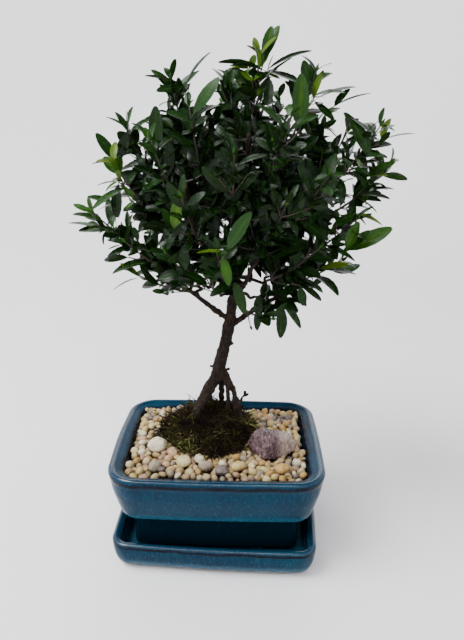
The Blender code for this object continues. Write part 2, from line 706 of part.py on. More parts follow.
def place_twigs(limbs, wood_space):
    """Twigs and the branchlets that carry them, each clear of the twigs placed before."""
    limb_points = np.vstack([path[1:-1] for path, _, _ in limbs])
    taken = np.zeros(len(limb_points))
    twig_space = Space()
    twigs = []
    branchlets = []
    bends = [(0.07, 0), (0.1, 0.05), (0.04, -0.06), (0.12, 0.1), (0.02, -0.12), (0.1, 0.16)]
    for tip in shoot_tips():
        for share, (sag, side) in [(share, bend) for share in (1, 0.85, 0.7, 0.55) for bend in bends]:
            path = twig_path(tip, sag, side, share)
            guard = tube(path, np.full(len(path), TWIG_RADIUS + 0.9), 4)
            carried, best = carry_twig(path, limb_points, taken)
            thick = np.linspace(TWIG_RADIUS * 1.5, TWIG_RADIUS * 1.15, len(carried))
            branch_guard = tube(carried, thick + 0.9, 4)
            if not (wood_space.hits(*guard) or twig_space.hits(*guard) or twig_space.hits(*branch_guard)):
                break
        taken[best] = 1
        twigs.append(path)
        twig_space.add(*guard)
        branchlet = tube(carried, thick, 4)
        branchlets.append(branchlet)
        wood_space.add(*branchlet)
    return twigs, branchlets, twig_space


def leaf_frame(axis, outward, rise, roll, swing):
    """Directions of a leaf: across it, its upper face, and along it."""
    sideways = np.cross(axis, outward)
    outward = unit(outward * math.cos(swing) + sideways * math.sin(swing))
    along = outward * math.cos(rise) + axis * math.sin(rise)
    face = unit(axis - np.dot(axis, along) * along)
    across = np.cross(face, along)
    across, face = (across * math.cos(roll) + face * math.sin(roll),
                    face * math.cos(roll) - across * math.sin(roll))
    return across, face, along


def leaf_corners(foot, frame, length, width, thickness):
    """The leaf's widest section, as four corners, and its tip, which bends down a little."""
    across, face, along = frame
    middle = foot + 0.46 * length * along + 0.05 * length * face
    half = [(-1, -1), (1, -1), (1, 1), (-1, 1)]
    widest = [middle + across * (a * width / 2) + face * (f * thickness / 2) for a, f in half]
    return widest, foot + length * along - 0.04 * length * face


def leaf_guard(foot, frame, length, width):
    """A slightly fatter leaf, clear of its own twig, that no other piece may touch."""
    across, face, along = frame
    start = foot + 0.03 * length * along
    half = [(-1, -1), (1, -1), (1, 1), (-1, 1)]
    narrow = [start + across * a * 1.4 + face * f * 1.0 for a, f in half]
    widest, _ = leaf_corners(foot, frame, length, width + 1.6, LEAF_THICKNESS + 1.3)
    end = foot + (length + 0.9) * along - 0.04 * length * face
    vertices = narrow + widest + [end]
    faces = [[3, 2, 1, 0]]
    for i in range(4):
        n = (i + 1) % 4
        faces += [[i, n, n + 4, i + 4], [i + 4, n + 4, 8]]
    return vertices, faces


def make_spray(number, path, own, wood_space, twig_space, leaf_space, parent):
    """One twig of square section with pairs of leaves drawn out of its sides, as one closed skin.

    Pairs stand at right angles to the pair below. A leaf that has no room is turned, then
    shortened, and left out if nothing fits.
    """
    draw = random.Random(100 + number)
    lengths = np.append(0, np.cumsum(np.linalg.norm(np.diff(path, axis=0), axis=1)))
    total = lengths[-1]
    pairs = max(3, int((total - 5.0) / LEAF_SPACING) + 1)
    band = 1.7
    stations = [0.0]
    for pair in range(pairs):
        middle = 5.0 + pair * (total - 5.0 - band) / (pairs - 1)
        stations += [middle - band / 2, middle + band / 2]
    stations.append(total + 0.8)
    turn = draw.uniform(0, math.pi / 2)
    vertices = []
    frames = []
    for station in stations:
        place = np.array([np.interp(station, lengths, path[:, i]) for i in range(3)])
        ahead = np.array([np.interp(min(station + 2, total), lengths, path[:, i]) for i in range(3)])
        behind = np.array([np.interp(min(station, total) - 2, lengths, path[:, i]) for i in range(3)])
        axis = unit(ahead - behind)
        if station > total:
            place = place + axis * (station - total)
        across, along = side_frame(axis, turn)
        frames.append((place, axis, across, along))
        radius = TWIG_RADIUS * (1 - 0.4 * min(1, station / total))
        for corner in range(4):
            angle = math.pi / 4 + corner * math.pi / 2
            vertices.append(place + math.sqrt(2) * radius * (math.cos(angle) * across + math.sin(angle) * along))
    faces = [[3, 2, 1, 0]]
    for k in range(len(stations) - 1):
        for side in range(4):
            n = (side + 1) % 4
            quad = [4 * k + side, 4 * k + n, 4 * k + 4 + n, 4 * k + 4 + side]
            pair = (k - 1) // 2
            leafy = k % 2 == 1 and side % 2 == pair % 2
            leaf = leafy and fit_leaf(vertices, quad, frames[k], pair / (pairs - 1), own, draw,
                                      wood_space, twig_space, leaf_space)
            if not leaf:
                faces.append(quad)
                continue
            first = len(vertices)
            vertices += leaf
            for i in range(4):
                j = (i + 1) % 4
                faces += [[quad[i], quad[j], first + j, first + i], [first + i, first + j, first + 4]]
    last = 4 * (len(stations) - 1)
    faces.append([last, last + 1, last + 2, last + 3])
    add_piece(f"spray_{number:02d}", vertices, faces, "leaf", parent)


def fit_leaf(vertices, quad, frame, share, own, draw, wood_space, twig_space, leaf_space):
    """The leaf's four widest corners and its tip, or None where there is no room for it."""
    foot = sum(vertices[i] for i in quad) / 4
    _, axis, _, _ = frame
    outward = foot - frame[0]
    outward = unit(outward - np.dot(outward, axis) * axis)
    length = LEAF_LENGTH * draw.uniform(0.82, 1.06) * (1 - 0.12 * share)
    for attempt in range(9):
        rise = math.radians(draw.uniform(28, 48) + 14 * share)
        shorter = 1 - 0.05 * max(0, attempt - 3)
        roll = math.radians(draw.uniform(-14, 14))
        swing = math.radians(draw.uniform(-10, 10) * (1 + attempt / 2))
        turned = leaf_frame(axis, outward, rise, roll, swing)
        guard = leaf_guard(foot, turned, length * shorter, LEAF_WIDTH)
        if wood_space.hits(*guard) or leaf_space.hits(*guard) or twig_space.hits(*guard, skip=(own,)):
            continue
        leaf_space.add(*guard)
        widest, tip = leaf_corners(foot, turned, length * shorter, LEAF_WIDTH, LEAF_THICKNESS)
        return widest + [tip]
    return None


# ---------------------------------------------------------------- tree
def make_tree(parent):
    """The wood and its sprays; returns the hollows that the roots need in the mound."""
    trunk_points = [tree_point(p) for p in TRUNK]
    trunk_path = smooth_path(trunk_points, 2)
    share = np.linspace(0, 1, len(trunk_path))
    trunk_radii = TRUNK_RADIUS * (1 - 0.72 * share ** 1.1)
    limbs = limb_paths()
    solids = []
    hollows = []
    for points, start, end in ROOTS:
        sides = 7 if start > 2 else 5
        placed = [tree_point(p) for p in points]
        solids.append(tapered(placed, start, end, sides, 1, flutes=0.06))
        deeper = placed + [placed[-1] + 1.2 * unit(placed[-1] - placed[-2])]
        hollow = tapered(deeper[1:], start, end, sides, 1, grow=(start - end) / 3 + GAP * 2.6)
        hollows.append(as_cutter(add_piece(f"root_hollow_{len(hollows)}", *hollow, "moss", parent)))
    for start, end in STUBS:
        path = np.array([tree_point(start), tree_point(end)])
        solids.append(tube(np.linspace(path[0], path[1], 3), [1.9, 1.7, 1.3], 6))
    wood_space = Space()
    trunk_solid = tube(trunk_path, trunk_radii, 9, flutes=0.05)
    for solid in solids + [trunk_solid]:
        wood_space.add(*solid)
    for path, start, end in limbs:
        solid = tube(path, np.linspace(start, end, len(path)), 5)
        solids.append(solid)
        wood_space.add(*solid)
    trunk_top = trunk_path[len(trunk_path) // 2:]
    twigs, branchlets, twig_space = place_twigs(limbs + [(trunk_top, 2.0, 1.2)], wood_space)
    solids += branchlets
    tools = [
        as_cutter(add_piece(f"wood_{number}", *solid, "bark", parent))
        for number, solid in enumerate(solids)
    ]
    wood = add_piece("trunk_and_branches", *trunk_solid, "bark", parent, smooth=50)
    for tool in tools:
        add_boolean(wood, tool, "UNION")
    leaf_space = Space()
    for number, path in enumerate(twigs, 1):
        make_spray(number, path, number - 1, wood_space, twig_space, leaf_space, parent)
    print(f"{len(twigs)} sprays, {len(leaf_space.trees)} leaves")
    return hollows


# ---------------------------------------------------------------- assembly
def centre_over_origin(parent):
    """Moves the parent so that the whole object's box stands centred on the origin."""
    bpy.context.view_layer.update()
    graph = bpy.context.evaluated_depsgraph_get()
    low = np.full(3, np.inf)
    high = np.full(3, -np.inf)
    for piece in bpy.context.scene.objects:
        if piece.type != "MESH" or piece.hide_render:
            continue
        final = piece.evaluated_get(graph)
        points = np.empty(3 * len(final.data.vertices))
        final.data.vertices.foreach_get("co", points)
        placed = points.reshape(-1, 3) @ np.array(piece.matrix_world.to_3x3()).T + piece.matrix_world.translation
        low = np.minimum(low, placed.min(axis=0))
        high = np.maximum(high, placed.max(axis=0))
    middle = (low + high) / 2
    parent.location = (-middle[0], -middle[1], -low[2])
    print("size in mm:", np.round((high - low) / MM, 1))


def main():
    clear_scene()
    parent = bpy.data.objects.new("potted_tree", None)
    bpy.context.scene.collection.objects.link(parent)
    make_tray(parent)
    make_pot(parent)
    make_soil(make_drain_screen(parent), parent)
    gravel_tools = make_stones(parent)
    make_gravel(gravel_tools, parent)
    make_mound(make_tree(parent), parent)
    centre_over_origin(parent)


main()
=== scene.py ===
# %% [markdown]
# # A small bonsai in a glazed pot
# The plant is about 36 cm tall and stands in a blue glazed pot on a matching tray. The packed
# model fixes where everything is. Each cell below makes one kind of surface with numpy, puts it
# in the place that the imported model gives, and says how the real thing gets its look.
# Lengths are in millimetres, measured from the middle of the pot at table height, and are turned
# into metres only when a mesh is made.

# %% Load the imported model
import math

import bpy
import numpy as np
from mathutils import Matrix, Vector


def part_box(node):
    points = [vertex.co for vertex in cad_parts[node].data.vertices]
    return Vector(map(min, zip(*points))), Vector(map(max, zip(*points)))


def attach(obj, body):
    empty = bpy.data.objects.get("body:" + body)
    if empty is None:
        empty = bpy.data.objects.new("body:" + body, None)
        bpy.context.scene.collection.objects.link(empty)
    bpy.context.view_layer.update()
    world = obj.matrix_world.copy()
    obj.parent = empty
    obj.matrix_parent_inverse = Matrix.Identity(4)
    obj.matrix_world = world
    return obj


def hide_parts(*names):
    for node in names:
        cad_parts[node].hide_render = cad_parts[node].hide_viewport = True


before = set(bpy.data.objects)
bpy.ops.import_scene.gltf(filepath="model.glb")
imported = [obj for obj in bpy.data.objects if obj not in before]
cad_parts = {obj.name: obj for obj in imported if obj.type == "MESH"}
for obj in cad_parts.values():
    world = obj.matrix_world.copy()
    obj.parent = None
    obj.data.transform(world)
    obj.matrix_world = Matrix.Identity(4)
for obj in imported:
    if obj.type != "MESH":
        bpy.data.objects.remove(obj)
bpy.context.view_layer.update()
MM = 0.001
BODY = "root"
pot_low, pot_high = (np.array(corner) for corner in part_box("pot"))
POT_MIDDLE = np.array([*(pot_low + pot_high)[:2] / 2, 0.0])


# %% [markdown]
# ## Helpers for surfaces
# Three kinds of form make the whole plant. A *skin* is a grid of rings: twigs, leaves, pebbles and
# the pot are all rings of points joined into a closed surface. *Noise* makes nature's unevenness:
# random numbers on a lattice, blended smoothly in between. A *heap* gathers thousands of skins
# into one mesh, because one object with a thousand leaves is much lighter than a thousand objects.

# %% Placing
def stand(name, data):
    """A new object in the scene that holds a mesh, a light or the camera."""
    made = bpy.data.objects.new(name, data)
    bpy.context.scene.collection.objects.link(made)
    return made


def packed_box(node):
    """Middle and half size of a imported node, in millimetres from the pot's middle."""
    low, high = ((np.array(corner) - POT_MIDDLE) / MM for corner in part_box(node))
    return (low + high) / 2, (high - low) / 2


def fit_box(points, middle, half):
    """Points stretched along each axis until they just fill a box."""
    top, bottom = points.reshape(-1, 3).max(axis=0), points.reshape(-1, 3).min(axis=0)
    return (points - (top + bottom) / 2) * (2 * half / (top - bottom)) + middle


# %% Smooth noise on whole arrays
def noise(points, size, seed=0):
    """Value noise from -1 to 1: hashed random numbers at lattice corners `size` apart, blended
    along each axis with the weight 3t^2 - 2t^3."""
    place = np.asarray(points, float) / size
    cell = np.floor(place).astype(np.int64)
    share = place - cell
    share = share * share * (3 - 2 * share)
    total = np.zeros(place.shape[:-1])
    for corner in np.ndindex(2, 2, 2):
        lattice = cell + np.array(corner)
        mixed = lattice[..., 0] * 73856093 ^ lattice[..., 1] * 19349663 ^ lattice[..., 2] * 83492791
        mixed = (mixed ^ seed * 40503) * 2654435761 & 0xFFFFFFFF
        mixed = (mixed ^ mixed >> 15) * 2246822519 & 0xFFFFFFFF
        value = (mixed >> 8 & 0xFFFF) / 32767.5 - 1
        weight = np.prod(np.where(np.array(corner) == 1, share, 1 - share), axis=-1)
        total += value * weight
    return total


def unit(vectors):
    """Each vector divided by its own length."""
    return vectors / np.linalg.norm(vectors, axis=-1, keepdims=True)


def turns(sides):
    """Angles once round, one for each side."""
    return np.linspace(0, 2 * math.pi, sides, endpoint=False)


def round_offsets(sides):
    """The points of a flat circle of radius one."""
    turn = turns(sides)
    return np.stack([np.cos(turn), np.sin(turn), 0 * turn], axis=-1)


print("noise sample", np.round(noise(np.array([[1.0, 2.0, 3.0], [4.0, 5.0, 6.0]]), 2.5), 3))


# %% Rings along a path
def smooth_path(points, per_span):
    """A Catmull-Rom curve: between points b and c, with neighbours a and d, the place at share t
    is half of 2b + (c-a)t + (2a-5b+4c-d)t^2 + (3b-a-3c+d)t^3."""
    points = np.asarray(points, float)
    padded = np.vstack([2 * points[:1] - points[1:2], points, 2 * points[-1:] - points[-2:-1]])
    a, b, c, d = (padded[k:k + len(points) - 1, None] for k in range(4))
    t = np.linspace(0, 1, per_span, endpoint=False)[None, :, None]
    curve = 0.5 * (2 * b + (c - a) * t + (2 * a - 5 * b + 4 * c - d) * t ** 2
                   + (3 * b - a - 3 * c + d) * t ** 3)
    return np.vstack([curve.reshape(-1, points.shape[1]), points[-1:]])


def rings_along(path, radii, sides):
    """Rings square to a path: point j of a ring is the path point plus its radius times
    (cos turn_j times across + sin turn_j times along). Radii may differ round the ring."""
    tangent = unit(np.gradient(path, axis=0))
    main = path[-1] - path[0]
    helper = np.eye(3)[np.argmin(np.abs(main))]
    across = unit(helper - (tangent @ helper)[:, None] * tangent)
    along = np.cross(tangent, across)
    turn = turns(sides)
    radii = np.asarray(radii, float)
    radii = radii[:, None] if radii.ndim == 1 else radii
    ring = np.cos(turn)[None, :, None] * across[:, None] + np.sin(turn)[None, :, None] * along[:, None]
    return path[:, None] + radii[..., None] * ring


class Heap:
    """Gathers ring skins. Each skin is closed at both ends by a fan of triangles to a pole."""

    def __init__(self):
        self.points, self.quads, self.tris = [], [], []
        self.uvs, self.tones, self.quad_finish, self.tri_finish = [], [], [], []
        self.count = 0

    def add(self, grids, finish=0, tone=0.0, uv=None):
        """grids holds (skins, rings, ring points, 3). finish is one material number or one for
        each strip between ring points; tone is one number for all or one for each skin."""
        grids = np.asarray(grids, float)
        if grids.ndim == 3:
            grids = grids[None]
        skins, rings, sides, _ = grids.shape
        size = rings * sides + 2
        poles = np.stack([grids[:, 0].mean(axis=1), grids[:, -1].mean(axis=1)], axis=1)
        self.points.append(np.concatenate([grids.reshape(skins, -1, 3), poles], axis=1).reshape(-1, 3))
        ring, side = np.meshgrid(np.arange(rings - 1), np.arange(sides), indexing="ij")
        after = (side + 1) % sides
        quads = np.stack([ring * sides + side, ring * sides + after,
                          (ring + 1) * sides + after, (ring + 1) * sides + side], axis=-1).reshape(-1, 4)
        side = np.arange(sides)
        after = (side + 1) % sides
        last = (rings - 1) * sides
        first_fan = np.stack([after, side, np.full(sides, size - 2)], axis=-1)
        last_fan = np.stack([last + side, last + after, np.full(sides, size - 1)], axis=-1)
        tris = np.vstack([first_fan, last_fan])
        start = self.count + np.arange(skins)[:, None, None] * size
        self.quads.append((quads[None] + start).reshape(-1, 4))
        self.tris.append((tris[None] + start).reshape(-1, 3))
        strips = np.broadcast_to(finish, (sides,))
        self.quad_finish.append(np.tile(strips, (rings - 1) * skins))
        self.tri_finish.append(np.tile(strips, 2 * skins))
        if uv is None:
            u, v = np.meshgrid(np.linspace(0, 1, sides), np.linspace(0, 1, rings))
            uv = np.stack([u, v], axis=-1)
        ends = np.array([[uv[0, :, 0].mean(), uv[0, 0, 1]], [uv[-1, :, 0].mean(), uv[-1, 0, 1]]])
        one = np.vstack([uv.reshape(-1, 2), ends])
        self.uvs.append(np.tile(one, (skins, 1)))
        self.tones.append(np.repeat(np.broadcast_to(tone, (skins,)), size))
        self.count += skins * size

    def piece(self, name, materials, sharp=None):
        """One object from everything in the heap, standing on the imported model."""
        points = np.concatenate(self.points) * MM + POT_MIDDLE
        quads, tris = np.concatenate(self.quads), np.concatenate(self.tris)
        mesh = bpy.data.meshes.new(name)
        mesh.from_pydata(points, [], quads.tolist() + tris.tolist())
        for material in materials:
            mesh.materials.append(material)
        finish = np.concatenate(self.quad_finish + self.tri_finish).astype(np.int32)
        mesh.polygons.foreach_set("material_index", finish)
        corners = np.empty(len(mesh.loops), np.int32)
        mesh.loops.foreach_get("vertex_index", corners)
        layer = mesh.uv_layers.new(name="surface")
        layer.data.foreach_set("uv", np.concatenate(self.uvs)[corners].astype(np.float32).ravel())
        tone = mesh.attributes.new("tone", "FLOAT", "POINT")
        tone.data.foreach_set("value", np.concatenate(self.tones).astype(np.float32))
        mesh.shade_smooth()
        if sharp:
            mesh.set_sharp_from_angle(angle=math.radians(sharp))
        return stand(name, mesh)


def settle(piece, slot, *nodes):
    """The piece stands still with the pot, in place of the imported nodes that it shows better."""
    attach(piece, BODY)
    if nodes:
        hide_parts(*nodes)
    print(piece.name, len(piece.data.polygons), "faces")


# %% [markdown]
# ## Helpers for finishes
# Every finish is a Principled shader fed by procedural patterns. Patterns read the Object
# coordinates, which here are metres in the plant's own frame, or the skin's own UV map and tone.

# %% Material helper
class Finish:
    """A node material with short calls for the patterns used below."""

    def __init__(self, name, roughness, gloss=0.5):
        """gloss is the specular level, the same all over the surface."""
        self.material = bpy.data.materials.new(name)
        self.material.use_nodes = True
        self.tree = self.material.node_tree
        self.shader = self.tree.nodes["Principled BSDF"]
        self.shader.inputs["Roughness"].default_value = roughness
        self.shader.inputs["Specular IOR Level"].default_value = gloss
        self.places = self.node("ShaderNodeTexCoord")

    def node(self, kind, **settings):
        """A new node with its settings."""
        made = self.tree.nodes.new(kind)
        for key, value in settings.items():
            setattr(made, key, value)
        return made

    def link(self, out, socket):
        """Joins an output to an input."""
        self.tree.links.new(out, socket)

    def where(self, scale, turn=(0, 0, 0)):
        """Places in the plant, stretched per axis; a scale of 1000 counts in millimetres."""
        mapping = self.node("ShaderNodeMapping")
        mapping.inputs["Scale"].default_value = scale
        mapping.inputs["Rotation"].default_value = turn
        self.link(self.places.outputs["Object"], mapping.inputs["Vector"])
        return mapping.outputs["Vector"]

    def speckle(self, scale, detail=4.0, rough=0.6, turn=(0, 0, 0)):
        """Cloudy noise from 0 to 1, with scale spots to the metre along each axis."""
        made = self.node("ShaderNodeTexNoise")
        made.inputs["Scale"].default_value = 1.0
        made.inputs["Detail"].default_value = detail
        made.inputs["Roughness"].default_value = rough
        self.link(self.where(scale, turn), made.inputs["Vector"])
        return made.outputs["Fac"]

    def place_along(self, axis):
        """How far a point lies along an axis of the plant, in millimetres."""
        split = self.node("ShaderNodeSeparateXYZ")
        self.link(self.where((1000, 1000, 1000)), split.inputs["Vector"])
        return split.outputs[axis]

    def ramp(self, value, stops):
        """Colours at positions from 0 to 1, blended in between."""
        made = self.node("ShaderNodeValToRGB")
        band = made.color_ramp
        while len(band.elements) < len(stops):
            band.elements.new(0.5)
        for element, (position, colour) in zip(band.elements, stops):
            element.position = position
            element.color = (*colour, 1.0) if len(colour) == 3 else colour
        self.link(value, made.inputs["Fac"])
        return made.outputs["Color"]

    def mix(self, share, first, second):
        """first where share is 0, second where it is 1, blended in between."""
        made = self.node("ShaderNodeMix", data_type="RGBA", blend_type="MIX")
        for key, value in (("Factor", share), ("A", first), ("B", second)):
            socket = made.inputs[key]
            if isinstance(value, bpy.types.NodeSocket):
                self.link(value, socket)
            elif isinstance(value, tuple):
                socket.default_value = (*value, 1.0)
            else:
                socket.default_value = value
        return made.outputs["Result"]

    def maths(self, operation, *values):
        """One sum, difference, product or absolute value."""
        made = self.node("ShaderNodeMath", operation=operation)
        for socket, value in zip(made.inputs, values):
            if isinstance(value, bpy.types.NodeSocket):
                self.link(value, socket)
            else:
                socket.default_value = value
        return made.outputs["Value"]

    def spread(self, value, low, high, out_low=0.0, out_high=1.0):
        """A value stretched from low..high to out_low..out_high and clamped."""
        made = self.node("ShaderNodeMapRange")
        for name, number in zip(("From Min", "From Max", "To Min", "To Max"), (low, high, out_low, out_high)):
            made.inputs[name].default_value = number
        self.link(value, made.inputs["Value"])
        return made.outputs["Result"]

    def attribute(self, name):
        """A number that the mesh carries on its points."""
        made = self.node("ShaderNodeAttribute", attribute_name=name)
        return made.outputs["Fac"]

    def colour(self, value):
        """Drives the base colour."""
        self.link(value, self.shader.inputs["Base Color"])

    def rough(self, value):
        """Drives the roughness."""
        self.link(value, self.shader.inputs["Roughness"])

    def bump(self, height, distance, strength=1.0):
        """Shades as if the surface rose by distance metres where height is 1."""
        made = self.node("ShaderNodeBump")
        made.inputs["Distance"].default_value = distance
        made.inputs["Strength"].default_value = strength
        self.link(height, made.inputs["Height"])
        self.link(made.outputs["Normal"], self.shader.inputs["Normal"])


# %% [markdown]
# ## Camera, floor and light
# The camera stands in front of the pot, as high as the upper crown, and looks down about twenty
# degrees. The floor is a pale disc whose edge sweeps up like a studio cove, so that no horizon
# shows from any side. A wide soft light stands high on the left, a long narrow one hangs in front,
# and a weak wide one stands behind.

# %% Camera
CAMERA_PLACE = np.array([9.0, -379.1, 310.9])
CAMERA_DOWN = math.radians(19.95)
CAMERA_ROLL = math.radians(0.73)
POT_YAW = math.radians(0.92)
FOCAL_LENGTH = 32.12
turned = np.array([
    CAMERA_PLACE[0] * math.cos(POT_YAW) - CAMERA_PLACE[1] * math.sin(POT_YAW),
    CAMERA_PLACE[0] * math.sin(POT_YAW) + CAMERA_PLACE[1] * math.cos(POT_YAW),
    CAMERA_PLACE[2],
])
camera_data = bpy.data.cameras.new("camera")
camera_data.sensor_width = 36.0
camera_data.lens = FOCAL_LENGTH
camera_data.clip_start = 0.01
camera = stand("camera", camera_data)
camera.location = turned * MM + POT_MIDDLE
camera.rotation_euler = (
    Matrix.Rotation(POT_YAW, 3, "Z")
    @ Matrix.Rotation(math.pi / 2 - CAMERA_DOWN, 3, "X")
    @ Matrix.Rotation(CAMERA_ROLL, 3, "Z")
).to_euler()
bpy.context.scene.camera = camera
print("camera at", np.round(np.array(camera.location), 3))

# %% Floor that sweeps up all round
COVE_RADIUS, COVE_SWEEP, COVE_HEIGHT = 1500.0, 700.0, 1500.0
COVE_SIDES = 96
bend = np.linspace(0, math.pi / 2, 16)
cove_edge = COVE_RADIUS - COVE_SWEEP + COVE_SWEEP * np.sin(bend)
cove_reach = np.concatenate([[0.1, 500.0], cove_edge, [COVE_RADIUS]])
cove_rise = np.concatenate([[0.0, 0.0], COVE_SWEEP * (1 - np.cos(bend)), [COVE_HEIGHT]])
cove_turn = turns(COVE_SIDES)
cove = np.stack([
    cove_reach[:, None] * np.cos(cove_turn), cove_reach[:, None] * np.sin(cove_turn),
    np.broadcast_to(cove_rise[:, None], (len(cove_reach), COVE_SIDES)),
], axis=-1)
ring, side = np.meshgrid(np.arange(len(cove_reach) - 1), np.arange(COVE_SIDES), indexing="ij")
after = (side + 1) % COVE_SIDES
here, outer = ring * COVE_SIDES, (ring + 1) * COVE_SIDES
cove_quads = np.stack([here + side, outer + side, outer + after, here + after], axis=-1).reshape(-1, 4)
cove_middle = list(range(COVE_SIDES))
cove_mesh = bpy.data.meshes.new("studio_floor")
cove_mesh.from_pydata(cove.reshape(-1, 3) * MM + POT_MIDDLE, [], cove_quads.tolist() + [cove_middle])
cove_mesh.shade_smooth()
floor = stand("studio_floor", cove_mesh)
paint = Finish("studio_paint", roughness=0.6, gloss=0.2)
paint_cloud = paint.speckle((0.6, 0.6, 0.6), 1.0)
paint.colour(paint.ramp(paint_cloud, [(0.3, (0.76, 0.76, 0.775)), (0.7, (0.79, 0.785, 0.79))]))
cove_mesh.materials.append(paint.material)

# %% Lights
LIGHT_AIM = 180.0


def soft_light(name, place, power, width, depth, colour):
    """A rectangular area light aimed at the middle of the crown."""
    data = bpy.data.lights.new(name, "AREA")
    data.shape = "RECTANGLE"
    data.energy = power
    data.size = width
    data.size_y = depth
    data.color = colour
    light = stand(name, data)
    spot = np.array(place) * MM + POT_MIDDLE
    light.location = spot
    aim = POT_MIDDLE + np.array([0.0, 0.0, LIGHT_AIM]) * MM - spot
    light.rotation_euler = Vector(aim).to_track_quat("-Z", "Y").to_euler()


soft_light("window", (-950, -330, 1600), 56.0, 0.9, 0.9, (0.97, 0.985, 1.0))
soft_light("ceiling_tube", (-200, -850, 1350), 10.0, 1.1, 0.05, (1.0, 0.98, 0.95))
soft_light("back", (-100, 1100, 1200), 11.0, 1.2, 1.2, (1.0, 1.0, 1.0))
world = bpy.data.worlds.new("studio_air")
world.use_nodes = True
world.node_tree.nodes["Background"].inputs["Color"].default_value = (0.93, 0.95, 1.0, 1.0)
world.node_tree.nodes["Background"].inputs["Strength"].default_value = 0.28
bpy.context.scene.world = world


# %% [markdown]
# ## Pot and tray
# Both are press-moulded stoneware with a running blue glaze. A potter would call the shape a
# rounded rectangle carried up a section. The section is a handful of points smoothed into a
# curve; every ring is the outline moved in by the section's inset. The rings go up the outside,
# over the rim, down the inside and across the floor.

# %% Outlines and the vessel surface
def outline(half_x, half_y, corner, bow, corner_points=26, side_points=22):
    """A rounded rectangle: quarter circles at the corners, and sides that stand out by
    bow times cos(share of the side times 90 degrees)."""
    loops = []
    for quarter in range(4):
        sx = 1 if quarter in (0, 3) else -1
        sy = 1 if quarter in (0, 1) else -1
        angle = (quarter + np.linspace(0, 1, corner_points)) * math.pi / 2
        middle = np.array([sx * (half_x - bow - corner), sy * (half_y - bow - corner)])
        loops.append(middle + corner * np.stack([np.cos(angle), np.sin(angle)], axis=-1))
        place = 1 - 2 * np.linspace(0, 1, side_points + 1, endpoint=False)[1:]
        out = bow * np.cos(place * math.pi / 2)
        if quarter % 2 == 0:
            run = (half_x - bow - corner) * place * sx
            loops.append(np.stack([run, sy * (half_y - bow + out)], axis=-1))
        else:
            run = (half_y - bow - corner) * place * sy
            loops.append(np.stack([sx * (half_x - bow + out), run], axis=-1))
    return np.concatenate(loops)


def vessel(section, half_x, half_y, corner, bow, waver, seed):
    """Rings of the outline along a section of (inset, height), each inset by its own amount.
    The hand-made look is a noise of size waver that moves the wall in and out."""
    rings = []
    for inset, height in section:
        flat = outline(half_x - inset, half_y - inset, max(corner - inset, 5.0), bow)
        rings.append(np.column_stack([flat, np.full(len(flat), height)]))
    grid = np.array(rings)
    run = np.roll(grid, -1, axis=1) - np.roll(grid, 1, axis=1)
    out = unit(np.stack([run[..., 1], -run[..., 0], np.zeros(run.shape[:2])], axis=-1))
    return grid + out * noise(grid, 38.0, seed)[..., None] * waver


def corner_feet(half, spread, levels):
    """Four low feet, one under each corner at plus or minus spread. Levels are (size share,
    height) from the ground up."""
    flat = outline(*half, 5.0, 0.2, 6, 4)
    feet = []
    for side_x, side_y in ((-1, -1), (-1, 1), (1, -1), (1, 1)):
        spot = np.array(spread) * [side_x, side_y]
        rings = [np.column_stack([flat * grow + spot, np.full(len(flat), height)]) for grow, height in levels]
        feet.append(np.array(rings))
    return feet


def arc(middle, radius, start, end, steps):
    """Points of a section arc as (inset, height)."""
    angle = np.radians(np.linspace(start, end, steps + 1))
    return np.stack([middle[0] - radius * np.cos(angle), middle[1] + radius * np.sin(angle)], axis=-1)
